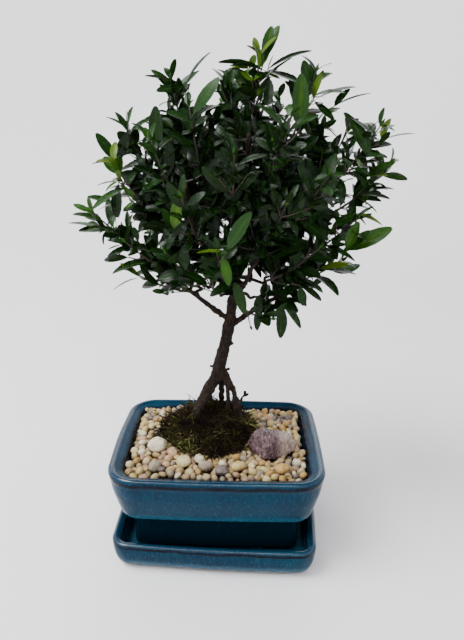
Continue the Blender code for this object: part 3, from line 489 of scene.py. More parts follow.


# %% [markdown]
# The glaze is a thick blue glass. It runs down while it melts, so it leaves fine pale streaks on
# the belly and thins out over every sharp edge, where the dark brown body shows through. That is
# why the colour here depends on height: dark bands under the lips are partly that brown break and
# partly painted shade, and a noise stretched downwards makes the streaks. Lower down the colour is
# painted near black as shade, with a paler band above it as painted bounce light.

# %% Glaze
def make_glaze(name, shade_and_break_bands, shade_below, crest):
    """Each band is (height, half width, strength) in mm: a dark band under a lip, partly where the
    glaze breaks and partly painted shade. Below the given height the colour is painted near black as
    shade, and just above that a paler band is painted bounce light. It pools thick at the crest, which a
    clear coat makes glassy."""
    glaze = Finish(name, roughness=0.2, gloss=0.06)
    glaze.shader.inputs["Coat Roughness"].default_value = 0.08
    cloud = glaze.speckle((30, 30, 22), 3.0)
    streak = glaze.speckle((800, 800, 130), 3.0, 0.7)
    fleck = glaze.speckle((1200, 1200, 330), 2.0, 0.8)
    base = glaze.ramp(cloud, [
        (0.3, (0.0014, 0.0135, 0.031)), (0.55, (0.0024, 0.020, 0.041)), (0.8, (0.0034, 0.029, 0.049)),
    ])
    veil = glaze.mix(glaze.spread(streak, 0.45, 0.75, 0.0, 0.6), base, (0.007, 0.041, 0.078))
    body = glaze.mix(glaze.spread(fleck, 0.6, 0.74, 0.0, 0.75), veil, (0.025, 0.105, 0.15))
    level_here = glaze.place_along("Z")
    waver = glaze.speckle((60, 60, 60), 2.0)
    height = glaze.maths("ADD", level_here, glaze.spread(waver, 0.3, 0.7, -0.6, 0.6))
    # Painted shade: below the given height the colour turns near black, for the shade under the pot's belly
    # and at the tray's foot.
    painted_low_shade = glaze.spread(height, shade_below - 2.0, shade_below + 1.0, 1.0, 0.0)
    colour = glaze.mix(painted_low_shade, body, (0.0015, 0.008, 0.014))
    chip = glaze.speckle((260, 260, 900), 3.0)
    # Dark bands under the lips: partly the glaze breaking to the brown body, partly painted shade under the
    # lip.
    for level, half_width, strength in shade_and_break_bands:
        away = glaze.maths("ABSOLUTE", glaze.maths("SUBTRACT", height, level))
        band = glaze.spread(away, half_width * 0.3, half_width, strength, 0.0)
        worn = glaze.maths("MULTIPLY", band, glaze.spread(chip, 0.3, 0.55, 0.5, 1.0))
        colour = glaze.mix(worn, colour, (0.005, 0.003, 0.0045))
    # Painted bounce light: a paler band just above the painted shade, for light thrown up from below.
    from_edge = glaze.maths("ABSOLUTE", glaze.maths("SUBTRACT", height, shade_below + 3.2))
    bounce_band = glaze.spread(from_edge, 0.8, 4.5, 0.75, 0.0)
    painted_bounce = glaze.maths("MULTIPLY", bounce_band, glaze.spread(streak, 0.35, 0.65, 0.4, 1.0))
    glaze.colour(glaze.mix(painted_bounce, colour, (0.022, 0.085, 0.135)))
    from_crest = glaze.maths("ABSOLUTE", glaze.maths("SUBTRACT", level_here, crest))
    glaze.link(glaze.spread(from_crest, 0.5, 0.8, 0.6, 0.0), glaze.shader.inputs["Coat Weight"])
    glaze.rough(glaze.spread(streak, 0.3, 0.8, 0.16, 0.32))
    ripple = glaze.speckle((90, 90, 60), 2.0)
    glaze.bump(ripple, 0.0006, 0.4)
    return glaze.material


# %% Pot
POT_HALF = (pot_high - pot_low)[:2] / 2 / MM
POT_CORNER, SIDE_BOW = 22.0, 0.9
NECK_INSET = 17.0
HAND_WAVER = 0.3
RIM_TOP = pot_high[2] / MM
POT_BASE = pot_low[2] / MM
BELLY_EDGE = RIM_TOP - 37.2
FLOOR_TOP = POT_BASE + 11.0
pot_points = np.vstack([
    [(20.0, POT_BASE + 4.0), (18.2, POT_BASE + 4.4), (NECK_INSET, POT_BASE + 6.5)],
    [(NECK_INSET, 30.0), (16.2, BELLY_EDGE - 5.5)],
    [(13.4, BELLY_EDGE - 2.7), (10.8, BELLY_EDGE - 1.0), (8.9, BELLY_EDGE + 0.4), (7.6, BELLY_EDGE + 2.6)],
    [(6.2, BELLY_EDGE + 6.5), (4.2, BELLY_EDGE + 13.5), (2.3, BELLY_EDGE + 20.5), (1.2, RIM_TOP - 9.5)],
    [(0.9, RIM_TOP - 7.5), (0.45, RIM_TOP - 6.0), (0.0, RIM_TOP - 3.6)],
    arc((2.5, RIM_TOP - 2.5), 2.5, 8, 88, 6),
    [(3.9, RIM_TOP - 0.55), (5.2, RIM_TOP - 1.5), (7.0, RIM_TOP - 2.2), (9.0, RIM_TOP - 3.0)],
    [(10.7, RIM_TOP - 4.2), (11.7, RIM_TOP - 6.2), (12.0, RIM_TOP - 9.0), (12.0, 52.0), (13.6, 46.5)],
    [(20.5, 39.0), (23.6, 33.0)],
    [(24.0, 26.0), (24.0, FLOOR_TOP + 3.0), (25.0, FLOOR_TOP + 0.7), (27.0, FLOOR_TOP)],
])
pot_section = smooth_path(pot_points, 3)
pot_heap = Heap()
pot_heap.add(vessel(pot_section, *POT_HALF, POT_CORNER, SIDE_BOW, HAND_WAVER, 3))
foot_levels = [(0.94, POT_BASE), (1.0, POT_BASE + 0.8), (1.0, POT_BASE + 5.0)]
for foot in corner_feet((13.0, 9.0), (44.0, 31.0), foot_levels):
    pot_heap.add(foot)
glaze = make_glaze("running_blue_glaze", [(RIM_TOP - 4.3, 2.3, 1.0)], BELLY_EDGE - 1.2, RIM_TOP - 0.6)
pot = pot_heap.piece("glazed_pot", [glaze], sharp=60)
settle(pot, "glaze", "pot")

# %% Tray
TRAY_WALL, TRAY_MOAT = 8.0, np.array([6.6, 7.9])
TRAY_HALF = POT_HALF - NECK_INSET + TRAY_WALL + TRAY_MOAT
TRAY_CORNER, TRAY_BOW = 13.3, 1.2
TRAY_CREST = 22.8
TRAY_TURN = math.radians(-2.2)
TRAY_SHIFT = np.array([0.2, -1.0])
TRAY_FLOOR_TOP = 8.0


def turn_tray(grid):
    """The tray's points turned about the vertical and shifted, because it stands a little askew."""
    flat = grid[..., :2] @ np.array([[math.cos(TRAY_TURN), math.sin(TRAY_TURN)],
                                     [-math.sin(TRAY_TURN), math.cos(TRAY_TURN)]]) + TRAY_SHIFT
    return np.concatenate([flat, grid[..., 2:]], axis=-1)


tray_points = np.vstack([
    [(9.0, 2.0), (7.0, 2.1), (5.2, 2.9), (3.6, 4.4), (2.2, 7.0), (1.2, 10.0), (0.5, 14.0), (0.1, 18.0)],
    arc((2.5, 20.9), 2.5, 8, 88, 6),
    [(3.9, 22.9), (5.2, 21.9), (6.5, 20.8), (7.4, 19.4)],
    [(7.9, 17.5), (8.3, 13.5), (8.8, 10.3), (9.7, 8.7), (11.4, TRAY_FLOOR_TOP)],
])
tray_heap = Heap()
tray_section = smooth_path(tray_points, 3)
tray_heap.add(turn_tray(vessel(tray_section, *TRAY_HALF, TRAY_CORNER, TRAY_BOW, HAND_WAVER, 8)))
for pad in corner_feet((9.5, 7.5), (55.0, 42.0), [(0.9, 0.0), (1.0, 0.6), (1.0, 3.4)]):
    tray_heap.add(turn_tray(pad))
tray_glaze = make_glaze("tray_blue_glaze", [(20.6, 1.5, 1.0)], 3.0, TRAY_CREST)
tray = tray_heap.piece("glazed_tray", [tray_glaze], sharp=60)
settle(tray, "glaze", "tray")


# %% [markdown]
# ## Gravel
# The top dressing is river gravel: rounded, slightly angular pebbles in cream, tan, yellow and
# grey. Scattering them at random would leave overlaps and bald spots. Here discs of the pebbles'
# sizes push each other apart until they fit between the pot's wall and the moss, which is how
# real gravel settles. Two layers lie one above the other, so that no floor shows between them,
# and a third scattering of small pebbles lies in the gaps on top.

# %% Where the mound, the stone and the wall are
MOUND_MIDDLE = np.array([-9.0, 11.5])
MOUND_HALF = np.array([36.1, 32.6])
CREST = np.array([-2.0, 16.5])
GRAVEL_TOP, CREST_TOP = RIM_TOP - 3.5, 95.0
STONE_MIDDLE, STONE_HALF = packed_box("amethyst_stone")
WELL = POT_HALF - 12.0
WELL_CORNER = 10.0


def mound_reach(angle):
    """Distance from the mound's middle to its edge: an ellipse with three shallow waves."""
    plain = 1 / np.hypot(np.cos(angle) / MOUND_HALF[0], np.sin(angle) / MOUND_HALF[1])
    return plain * (1 - 0.04 * (1 + np.cos(3 * angle + 0.7)) / 2)


def outside_mound(spots, room):
    """Moves spots that lie within room of the mound straight out to its edge."""
    away = spots - MOUND_MIDDLE
    reach = np.linalg.norm(away, axis=1)
    need = mound_reach(np.arctan2(away[:, 1], away[:, 0])) + room
    moved = MOUND_MIDDLE + away * (need / np.maximum(reach, 1e-6))[:, None]
    return np.where((reach < need)[:, None], moved, spots)


def inside_well(spots, room):
    """Moves spots back inside the pot's rounded rectangle, smaller by room."""
    core = WELL[None] - WELL_CORNER
    nearest = np.clip(spots, -core, core)
    away = spots - nearest
    reach = np.linalg.norm(away, axis=1)
    limit = np.maximum(WELL_CORNER - room, 0.2)
    moved = nearest + away * (limit / np.maximum(reach, 1e-6))[:, None]
    return np.where((reach > limit)[:, None], moved, spots)


def settle_discs(count, radii, fixed, fixed_radii, seed, rounds=160):
    """Discs start at random and are pushed apart: each overlapping pair moves by 0.4 of its
    overlap along the line between them, and then everything is moved back into the bed."""
    draw = np.random.default_rng(seed)
    spots = draw.uniform(-WELL, WELL, (count, 2))
    from_wall = radii * draw.uniform(0.7, 1.9, count)
    for _ in range(rounds):
        every = np.vstack([spots, fixed])
        sizes = np.concatenate([radii, fixed_radii])
        gap = spots[:, None] - every[None]
        reach = np.linalg.norm(gap, axis=2) + 1e-6
        overlap = np.maximum(0, radii[:, None] + sizes[None] - reach)
        overlap[np.arange(count), np.arange(count)] = 0
        push = (gap / reach[..., None] * overlap[..., None]).sum(axis=1)
        spots = spots + 0.4 * push
        spots = inside_well(outside_mound(spots, radii * 0.55), from_wall)
    return spots


# %% Pebble shapes
def cut_stone(directions, normals, depths):
    """Reach of a broken stone in each direction: the least of depth / cosine over its cut planes,
    where the cosine is between the direction and the plane's normal, and never more than one."""
    cosine = np.einsum("...i,nki->n...k", directions, normals)
    depths = depths.reshape(depths.shape[:1] + (1,) * (cosine.ndim - 2) + depths.shape[1:])
    return np.minimum(1.0, np.min(np.where(cosine > 0.05, depths / np.maximum(cosine, 0.05), 9.0), axis=-1))


def round_directions(rings, sides):
    """Directions over a ball, without its two poles."""
    rise = np.linspace(0, math.pi, rings + 2)[1:-1]
    turn = turns(sides)
    return np.stack([
        np.sin(rise)[:, None] * np.cos(turn), np.sin(rise)[:, None] * np.sin(turn),
        np.broadcast_to(-np.cos(rise)[:, None], (rings, sides)),
    ], axis=-1)


def pebble_grids(spots, half, seed, rings=6, sides=8, lumpy=0.12, worn=0.74):
    """Balls cut by seven planes each, squeezed to their half sizes and turned. A plane's depth
    lies between worn and 0.95, so a lower number leaves flatter faces. Noise makes them uneven."""
    draw = np.random.default_rng(seed)
    count = len(spots)
    ball = round_directions(rings, sides)
    planes = unit(draw.normal(size=(count, 7, 3)))
    reach = cut_stone(ball, planes, draw.uniform(worn, 0.95, (count, 7)))
    where = ball[None] * 1.1 + draw.uniform(0, 400, (count, 1, 1, 3))
    swell = reach * (1 + lumpy * noise(where, 0.9, seed) + lumpy * 0.5 * noise(where, 0.4, seed + 1))
    shaped = ball[None] * swell[..., None] * half[:, None, None]
    spin = np.linalg.qr(draw.normal(size=(count, 3, 3)))[0]
    spin = spin * np.sign(np.linalg.det(spin))[:, None, None]
    lean = draw.uniform(0, 2 * math.pi, count)
    flat = np.zeros((count, 3, 3))
    flat[:, 0, 0] = flat[:, 1, 1] = np.cos(lean)
    flat[:, 0, 1] = -np.sin(lean)
    flat[:, 1, 0] = np.sin(lean)
    flat[:, 2, 2] = 1
    blend = np.where((draw.random(count) < 0.35)[:, None, None], spin, flat)
    return np.einsum("nij,nrsj->nrsi", blend, shaped) + spots[:, None, None]


# %% [markdown]
# A pebble's colour is one number, its tone, carried on its points. A colour ramp turns tones into
# cream, tan, yellow, pink and grey, and a finer noise gives each pebble its own veins and stains.
# Lower down the colour is painted darker with depth, as shade in the gaps between pebbles.

# %% Pebble finish
def make_pebble_finish(name):
    """Each pebble has the colour of its own tone, with stains, pale grains and painted shade lower down."""
    pebble = Finish(name, roughness=0.5, gloss=0.3)
    kind = pebble.ramp(pebble.attribute("tone"), [
        (0.0, (0.30, 0.205, 0.085)), (0.14, (0.42, 0.31, 0.125)), (0.28, (0.36, 0.21, 0.055)),
        (0.36, (0.48, 0.39, 0.2)), (0.5, (0.27, 0.165, 0.095)), (0.6, (0.38, 0.24, 0.135)),
        (0.7, (0.21, 0.175, 0.13)), (0.78, (0.42, 0.31, 0.105)), (0.88, (0.10, 0.075, 0.078)),
        (0.93, (0.52, 0.47, 0.33)),
    ])
    kind.node.color_ramp.interpolation = "CONSTANT"
    cloud = pebble.speckle((380, 380, 380), 4.0)
    grain = pebble.speckle((1800, 1800, 1800), 2.0)
    stained = pebble.mix(pebble.spread(cloud, 0.45, 0.75, 0.0, 0.6), kind, (0.12, 0.065, 0.025))
    pale = pebble.mix(pebble.spread(grain, 0.5, 0.75, 0.0, 0.3), stained, (0.5, 0.43, 0.32))
    # Painted shade: the colour darkens below the gravel's top, for the gaps between pebbles.
    painted_depth_shade = pebble.spread(pebble.place_along("Z"), GRAVEL_TOP - 5.0, GRAVEL_TOP + 0.6, 0.9, 0.0)
    pebble.colour(pebble.mix(painted_depth_shade, pale, (0.012, 0.009, 0.006)))
    pebble.rough(pebble.spread(cloud, 0.3, 0.7, 0.38, 0.65))
    pebble.bump(pebble.mix(0.5, cloud, grain), 0.0004, 0.7)
    return pebble.material


def make_earth_finish(name):
    """Damp earth: near black crumbs with lighter brown ones between."""
    earth = Finish(name, roughness=0.95, gloss=0.08)
    clod = earth.speckle((300, 300, 300), 5.0, 0.7)
    earth.colour(earth.ramp(clod, [
        (0.3, (0.004, 0.003, 0.002)), (0.6, (0.016, 0.010, 0.007)), (0.8, (0.04, 0.026, 0.016)),
    ]))
    earth.bump(clod, 0.0015, 1.0)
    return earth.material


pebble_finish = make_pebble_finish("river_gravel")
earth_finish = make_earth_finish("root_ball_earth")

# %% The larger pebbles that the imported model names
LARGE_TONES = [0.95, 0.72, 0.62, 0.4, 0.95, 0.72, 0.9, 0.8, 0.3]
big_spots, big_sizes = [], []
for number in range(1, 10):
    node = f"pebble_{number:02d}"
    middle, half = packed_box(node)
    big_spots.append(middle)
    big_sizes.append(half)
    heap = Heap()
    shape = pebble_grids(np.zeros((1, 3)), half[None], 300 + number, 22, 30, 0.1, 0.8)
    heap.add(fit_box(shape, middle, half), tone=LARGE_TONES[number - 1])
    settle(heap.piece(f"large_pebble_{number:02d}", [pebble_finish]), "pebble", node)
big_spots, big_sizes = np.array(big_spots), np.array(big_sizes)

# %% The bed
draw = np.random.default_rng(7)
stone_ends = STONE_MIDDLE[:2] + [[-8, 3], [0, 4], [9, 2], [-2, -6]]
fixed = np.vstack([big_spots[:, :2], stone_ends])
fixed_radii = np.concatenate([big_sizes[:, :2].mean(axis=1) * 0.85, [9.0, 11.0, 9.0, 7.5]])
bed = Heap()
# (pebbles, smallest and largest radius, height from the gravel's top, seed)
layers = [(270, 2.7, 4.2, -1.2, 21), (280, 3.0, 4.4, -5.6, 22), (110, 1.5, 2.4, -0.4, 23)]
for count, small, large, level, seed in layers:
    size = draw.uniform(small, large, count)
    near = fixed_radii * (1.0 if level > -4 else 0.3)
    spots = settle_discs(count, size, fixed, near, seed)
    heaped = 1.6 * spots[:, 1] / WELL[1] + 0.8 * noise(np.column_stack([spots, 0 * size]), 17.0, seed)
    height = GRAVEL_TOP + level + heaped + draw.normal(0, 0.7, count)
    wide, high = draw.uniform(0.62, 0.92, count), draw.uniform(0.55, 0.85, count)
    half = np.stack([size, size * wide, size * high], axis=-1)
    bed.add(pebble_grids(np.column_stack([spots, height]), half * 1.04, seed), tone=draw.random(count))
base_rings = []
for share, level in ((1.0, -13.0), (1.0, -8.0), (0.5, -7.8), (0.1, -7.8)):
    flat = outline(*(WELL - 0.4), WELL_CORNER, SIDE_BOW, 8, 8) * share
    base_rings.append(np.column_stack([flat, np.full(len(flat), GRAVEL_TOP + level)]))
bed.add(np.array(base_rings), finish=1)
settle(bed.piece("gravel", [pebble_finish, earth_finish]), "gravel", "gravel_bed")

# %% [markdown]
# ## The big stone
# Beside the moss lies a rough piece of purple quartz. Broken crystal faces catch the light in
# flat patches, with fine ribs between them. The shape starts as a squeezed ball. Cutting it with
# a few planes gives the flat patches, and ridged noise along one direction gives the ribs.

# %% Quartz
# Cut planes of the stone: three numbers of the normal, then the depth.
QUARTZ_CUTS = [
    (-0.88, -0.48, 0.08, 0.60), (0.66, -0.75, 0.1, 0.46), (-0.1, -0.45, 0.87, 0.66),
    (0.75, -0.35, 0.6, 0.56), (0.5, 0.25, 0.9, 0.60), (-0.5, 0.1, 0.85, 0.76),
    (-0.9, 0.3, 0.2, 0.80), (0.1, 0.95, 0.3, 0.78), (0.9, 0.3, 0.2, 0.86),
]
directions = round_directions(90, 130)
cuts = np.array(QUARTZ_CUTS)
reach = cut_stone(directions, unit(cuts[None, :, :3]), cuts[None, :, 3])[0]
slant = directions @ np.array([0.86, 0.22, 0.46]) + 0.10 * noise(directions, 0.5, 9)
ribs = np.abs(np.mod(slant * 6.0, 1.0) * 2 - 1) * (0.5 + 0.5 * noise(directions, 0.33, 4))
chips = noise(directions, 0.16, 2) * 0.035 + noise(directions, 0.07, 6) * 0.016
left_side = np.clip(0.7 - 1.4 * directions[..., 0], 0.15, 1.0)
reach = reach * (1 + 0.13 * (ribs - 0.5) * left_side + chips)
quartz_points = fit_box(directions * reach[..., None], STONE_MIDDLE, STONE_HALF)
quartz = Finish("purple_quartz", roughness=0.5, gloss=0.3)
rib = quartz.speckle((900, 260, 420), 5.0, 0.7, turn=(0.0, 0.45, 0.25))
patch = quartz.speckle((70, 70, 70), 3.0)
hue = quartz.ramp(rib, [
    (0.36, (0.014, 0.006, 0.008)), (0.47, (0.060, 0.030, 0.036)), (0.58, (0.125, 0.074, 0.078)),
    (0.72, (0.38, 0.29, 0.28)),
])
stone_x = POT_MIDDLE[0] / MM + STONE_MIDDLE[0]
right_part = quartz.spread(quartz.place_along("X"), stone_x + 3.0, stone_x + 8.0, 0.0, 0.8)
pale_share = quartz.maths("MULTIPLY", right_part, quartz.spread(patch, 0.35, 0.5, 0.4, 1.0))
pale_hue = quartz.ramp(rib, [
    (0.3, (0.12, 0.075, 0.06)), (0.5, (0.38, 0.29, 0.235)), (0.68, (0.60, 0.51, 0.42)),
])
quartz.colour(quartz.mix(pale_share, hue, pale_hue))
quartz.rough(quartz.spread(rib, 0.3, 0.8, 0.6, 0.25))
quartz.bump(rib, 0.0012, 0.9)
heap = Heap()
heap.add(quartz_points)
settle(heap.piece("quartz_stone", [quartz.material], sharp=50), "amethyst", "amethyst_stone")

# %% [markdown]
# ## Moss mound
# The root ball stands proud of the gravel and wears a coat of half-dry moss: mostly black-brown,
# with olive and a few bright green strands. A dome of soil carries several thousand short
# curved strands. Each strand is a thin three-sided tube of four rings, because at this size its
# section can't be seen and thousands of rounder ones would be heavy.

# %% The dome
DOME_RISE = CREST_TOP - GRAVEL_TOP - 1.5
SKIRT_FOOT = 60.3
DOME_SIDES = 120


def mound_share(spots):
    """Share of the way from the mound's middle to its edge, 1 at the edge."""
    away = spots - MOUND_MIDDLE
    return np.linalg.norm(away, axis=-1) / mound_reach(np.arctan2(away[..., 1], away[..., 0]))


def mound_height(spots):
    """Height over a spot: gravel top plus DOME_RISE times (1 - r^2)^0.8, plus lumps. r is the
    spot's share after the dome's middle has been drawn towards the crest."""
    drift = np.clip(1 - mound_share(spots), 0, 1)[..., None] * (CREST - MOUND_MIDDLE)
    share = mound_share(spots - drift)
    dome = GRAVEL_TOP + DOME_RISE * np.maximum(0, 1 - share ** 2) ** 0.8
    spot3 = np.concatenate([spots, np.zeros(spots.shape[:-1] + (1,))], axis=-1)
    return dome + 2.3 * noise(spot3, 8.0, 31) + 1.6 * noise(spot3, 3.0, 32)


turn = turns(DOME_SIDES)
share = np.linspace(1.04, 0.02, 56)
reach = (share[:, None] * mound_reach(turn))[..., None]
flat = np.stack([np.cos(turn), np.sin(turn)], axis=-1)[None] * reach + MOUND_MIDDLE
top = mound_height(flat)
dome_grid = np.concatenate([
    np.concatenate([flat[:1], np.full((1, DOME_SIDES, 1), SKIRT_FOOT)], axis=-1),
    np.concatenate([flat, top[..., None]], axis=-1),
])
heap = Heap()
heap.add(dome_grid)

# %% Strands
draw = np.random.default_rng(12)
STRANDS = 6500
angle = draw.uniform(0, 2 * math.pi, STRANDS)
share = np.sqrt(draw.random(STRANDS)) * 1.07
heading = np.stack([np.cos(angle), np.sin(angle)], axis=-1)
spots = MOUND_MIDDLE + (share * mound_reach(angle))[:, None] * heading
foot = np.column_stack([spots, np.maximum(mound_height(spots), GRAVEL_TOP + 0.5) - 0.3])
outward = np.column_stack([spots - CREST, np.full(STRANDS, 7.0)])
lean = unit(unit(outward) + draw.normal(0, 0.85, (STRANDS, 3)))
lean[:, 2] = np.abs(lean[:, 2]) + 0.1
length = draw.gamma(2.6, 1.9, STRANDS)
droop = draw.uniform(0.2, 1.1, STRANDS)
step = np.linspace(0, 1, 4)
spine = foot[:, None] + (length[:, None] * step)[..., None] * lean[:, None]
spine[..., 2] -= droop[:, None] * length[:, None] * step ** 2 * 0.5
thick = draw.uniform(0.18, 0.5, STRANDS)[:, None] * np.array([1.0, 1.0, 0.75, 0.3])
side = unit(np.cross(lean, [0.3, 0.2, 1.0]))
other = np.cross(lean, side)
corner = turns(3)
ring = np.cos(corner)[:, None] * side[:, None, None] + np.sin(corner)[:, None] * other[:, None, None]
strand_grids = spine[:, :, None] + thick[..., None, None] * ring
patch = noise(np.column_stack([spots, np.zeros(STRANDS)]), 11.0, 40)
edge = np.clip((share - 0.7) / 0.3, 0, 1)
green = np.clip(0.24 + 0.42 * patch + 0.12 * edge + draw.normal(0, 0.24, STRANDS), 0, 1)
heap.add(strand_grids, finish=1, tone=green)
moss = Finish("half_dry_moss", roughness=0.9, gloss=0.06)
moss.colour(moss.ramp(moss.attribute("tone"), [
    (0.0, (0.005, 0.003, 0.0025)), (0.34, (0.018, 0.0105, 0.006)), (0.52, (0.030, 0.023, 0.009)),
    (0.7, (0.036, 0.040, 0.008)), (0.82, (0.075, 0.085, 0.014)), (1.0, (0.24, 0.22, 0.09)),
]))
fibre = moss.speckle((900, 900, 900), 2.0)
moss.bump(fibre, 0.0002, 0.6)
settle(heap.piece("moss", [earth_finish, moss.material]), "moss", "moss_mound")

# %% [markdown]
# ## Wood
# The tree stands on exposed roots that fork like a tripod. A real trunk has no seams where roots
# and limbs join, so the thick parts are made as overlapping tubes, fused by a voxel remesh into
# one skin, and then roughened: ridges that run along the stem, knobs, and fine scales.
# The points are the tree's own, measured from the mound's crest.

# %% The tree's points
TREE_FOOT = np.array([*CREST, CREST_TOP])
TRUNK = [
    (0.5, 0, 25), (2, 0, 37), (5, 0, 50), (8, 0, 66), (10, 0, 78), (11.5, 0, 89), (13, 0, 99),
    (14.5, 0, 113), (16, 1, 130), (17, 2, 150), (18.5, 1, 175), (21, 0, 200),
]
TRUNK_HEAD = np.array([8, 0, 85])
ROOTS = [
    ([(1, 0, 33), (-1.5, 0, 25), (-6, -1, 16), (-11.5, -3, 6), (-15, -5, -3), (-17, -7, -12)], 4.6, 3.9),
    ([(5, 0, 29), (7.5, -1, 20), (8.5, -1, 9), (8, -2, -9)], 1.5, 1.2),
    ([(4, 0, 33), (8.5, -1, 24), (12.5, -1, 15), (14.5, -2, 5), (17, -3, -11)], 2.3, 1.6),
    ([(2, 0, 29), (3, 5, 16), (3, 9, 3), (3, 12, -10)], 2.0, 1.6),
    ([(-1, 1, 26), (-6, 7, 12), (-11, 11, 1), (-13, 13, -11)], 2.2, 1.6),
    ([(13, -1, 13), (16.5, -5, 8), (19, -7, -2), (20, -8, -11)], 1.1, 0.9),
    ([(16, -5, 2), (18, -6, 8), (19.5, -6, 12.5), (24, -6.5, 15)], 0.9, 0.55),
    ([(21, -6, 13.5), (21.5, -6, 17)], 0.6, 0.5),
]
STUBS = [((6, 0, 53), (11.5, -2, 55)), ((1, 0, 33), (-5.5, -2, 36)), ((3, 0, 31), (9, -3, 34))]
LIMBS = [
    [(9, 0, 72), (-8, 0, 85), (-25, 0, 98), (-46, -7, 114)],
    [(9, 0, 67), (22, 0, 77), (36, 0, 87), (52, -2, 95), (62, -6, 108)],
    [(11, 0, 88), (20, -17, 106), (28, -36, 134)],
    [(10, 0, 96), (-4, -17, 120), (-14, -34, 150), (-18, -40, 176)],
    [(11, 0, 100), (-8, 20, 124), (-24, 40, 156)],
    [(12, 0, 106), (26, 20, 127), (42, 40, 154)],
    [(12, 0, 110), (-12, 3, 135), (-36, 0, 162)],
    [(13, 0, 116), (36, 3, 138), (58, 0, 160), (74, 0, 180)],
    [(15, 1, 134), (0, 5, 162), (-16, 2, 196)],
    [(16, 2, 146), (34, -4, 170), (48, -6, 200)],
    [(15, 1, 138), (16, 24, 166), (12, 42, 196)],
    [(17, 1, 158), (19, -18, 180), (20, -32, 204)],
]
SHOOTS = [
    (26, 0, 250), (62, 0, 241), (-30, 0, 235), (104, -8, 209), (116, 8, 184), (92, -15, 150),
    (86, -10, 121), (-84, -8, 151), (-60, -22, 134), (-58, -12, 111), (-66, -20, 185),
    (-62, 8, 206), (-16, -32, 219), (-38, -44, 200), (44, -46, 214), (86, 6, 205),
    (3, -68, 138), (8, 6, 236), (56, -14, 104), (38, -28, 84), (-6, -42, 117), (-30, -46, 133),
    (66, -36, 135), (42, -64, 166), (-18, -66, 170), (12, -68, 194), (66, -54, 182),
]
BACK_SHOOTS = 12
CROWN_MIDDLE = np.array([9, 0, 160])
CROWN_REACH = (84, 86, 84)
TWIG_RADIUS = 0.95


def shoot_tips():
    """The end of every twig: the listed ones, then points spread over the back by the golden
    angle, whose heights fall in equal steps."""
    tips = [TREE_FOOT + point for point in np.array(SHOOTS, float)]
    golden = math.pi * (3 - math.sqrt(5))
    for number in range(BACK_SHOOTS):
        height = 1 - 1.7 * (number + 0.5) / BACK_SHOOTS
        ring = math.sqrt(1 - height ** 2)
        angle = math.pi / 2 + math.remainder(number * golden, math.pi) * 0.92
        tips.append(TREE_FOOT + CROWN_MIDDLE + [
            CROWN_REACH[0] * ring * math.cos(angle),
            6 + CROWN_REACH[1] * ring * abs(math.sin(angle)),
            CROWN_REACH[2] * height,
        ])
    return tips


def packed_foot(number, tip):
    """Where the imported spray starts: the middle of its four points nearest the trunk's head."""
    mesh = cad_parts[f"spray_{number:02d}"].data
    points = np.empty(3 * len(mesh.vertices))
    mesh.vertices.foreach_get("co", points)
    points = np.unique(np.round((points.reshape(-1, 3) - POT_MIDDLE) / MM, 2), axis=0)
    away = unit(tip - TREE_FOOT - TRUNK_HEAD)
    lowest = np.argsort(points @ away)[:4]
    return points[lowest].mean(axis=0)


tips = shoot_tips()
feet = [packed_foot(number, tip) for number, tip in enumerate(tips, 1)]
print(len(tips), "twigs, lengths", np.round([np.linalg.norm(t - f) for t, f in zip(tips, feet)])[:8])

# %% Fused trunk and roots
TRUNK_RADIUS, TRUNK_TAPER = 4.9, 0.76
VOXEL = 0.46
thick = Heap()


def add_stem(heap, points, start, end, sides, per_span=6):
    """A tube whose radius falls evenly from start to end."""
    path = smooth_path(np.array(points, float) + TREE_FOOT, per_span)
    radii = np.linspace(start, end, len(path))
    lobes = 0.07 * np.cos(3 * turns(sides)[None] + 0.05 * path[:, 2:])
    lumps = 0.05 * noise(path[:, None] + 3 * round_offsets(sides)[None], 5.0, 50)
    heap.add(rings_along(path, radii[:, None] * (1 + lobes + lumps), sides))


trunk_share = np.linspace(0, 1, 6 * (len(TRUNK) - 1) + 1)
trunk_path = smooth_path(np.array(TRUNK, float) + TREE_FOOT, 6)
thick.add(rings_along(trunk_path, TRUNK_RADIUS * (1 - TRUNK_TAPER * trunk_share ** 1.1), 20))
for points, start, end in ROOTS:
    add_stem(thick, points, start, end, 14)
for start, end in STUBS:
    add_stem(thick, [start, np.mean([start, end], axis=0), end], 1.5, 0.8, 10)
limb_paths = []
for points in LIMBS:
    start = 2.0 - 0.004 * (points[0][2] - 70)
    limb_paths.append((smooth_path(np.array(points, float) + TREE_FOOT, 2), start, 1.2))
    if points[0][2] < 120:
        add_stem(thick, points[:2], start, start * 0.85, 12, 8)
core = thick.piece("trunk_core", [])
remesh = core.modifiers.new("fuse", "REMESH")
remesh.mode = "VOXEL"
remesh.voxel_size = VOXEL * MM
smooth = core.modifiers.new("soften", "SMOOTH")
smooth.iterations = 3
smooth.factor = 0.5
fused = core.evaluated_get(bpy.context.evaluated_depsgraph_get()).to_mesh()
bark_points = np.empty(3 * len(fused.vertices))
fused.vertices.foreach_get("co", bark_points)
bark_points = (bark_points.reshape(-1, 3) - POT_MIDDLE) / MM
bark_normals = np.empty(3 * len(fused.vertices))
fused.vertices.foreach_get("normal", bark_normals)
bark_normals = bark_normals.reshape(-1, 3)
bark_faces = [list(face.vertices) for face in fused.polygons]
print("fused wood has", len(bark_points), "points")
bpy.data.objects.remove(core)

# %% Bark relief
ridge = 1 - 2 * np.abs(noise(bark_points * [1.0, 1.0, 0.28], 1.5, 61))
knobs = noise(bark_points, 3.4, 62)
scales = noise(bark_points * [1.0, 1.0, 0.6], 0.8, 63)
relief = 0.42 * ridge + 0.75 * knobs + 0.3 * scales
bark_points = bark_points + bark_normals * relief[:, None]

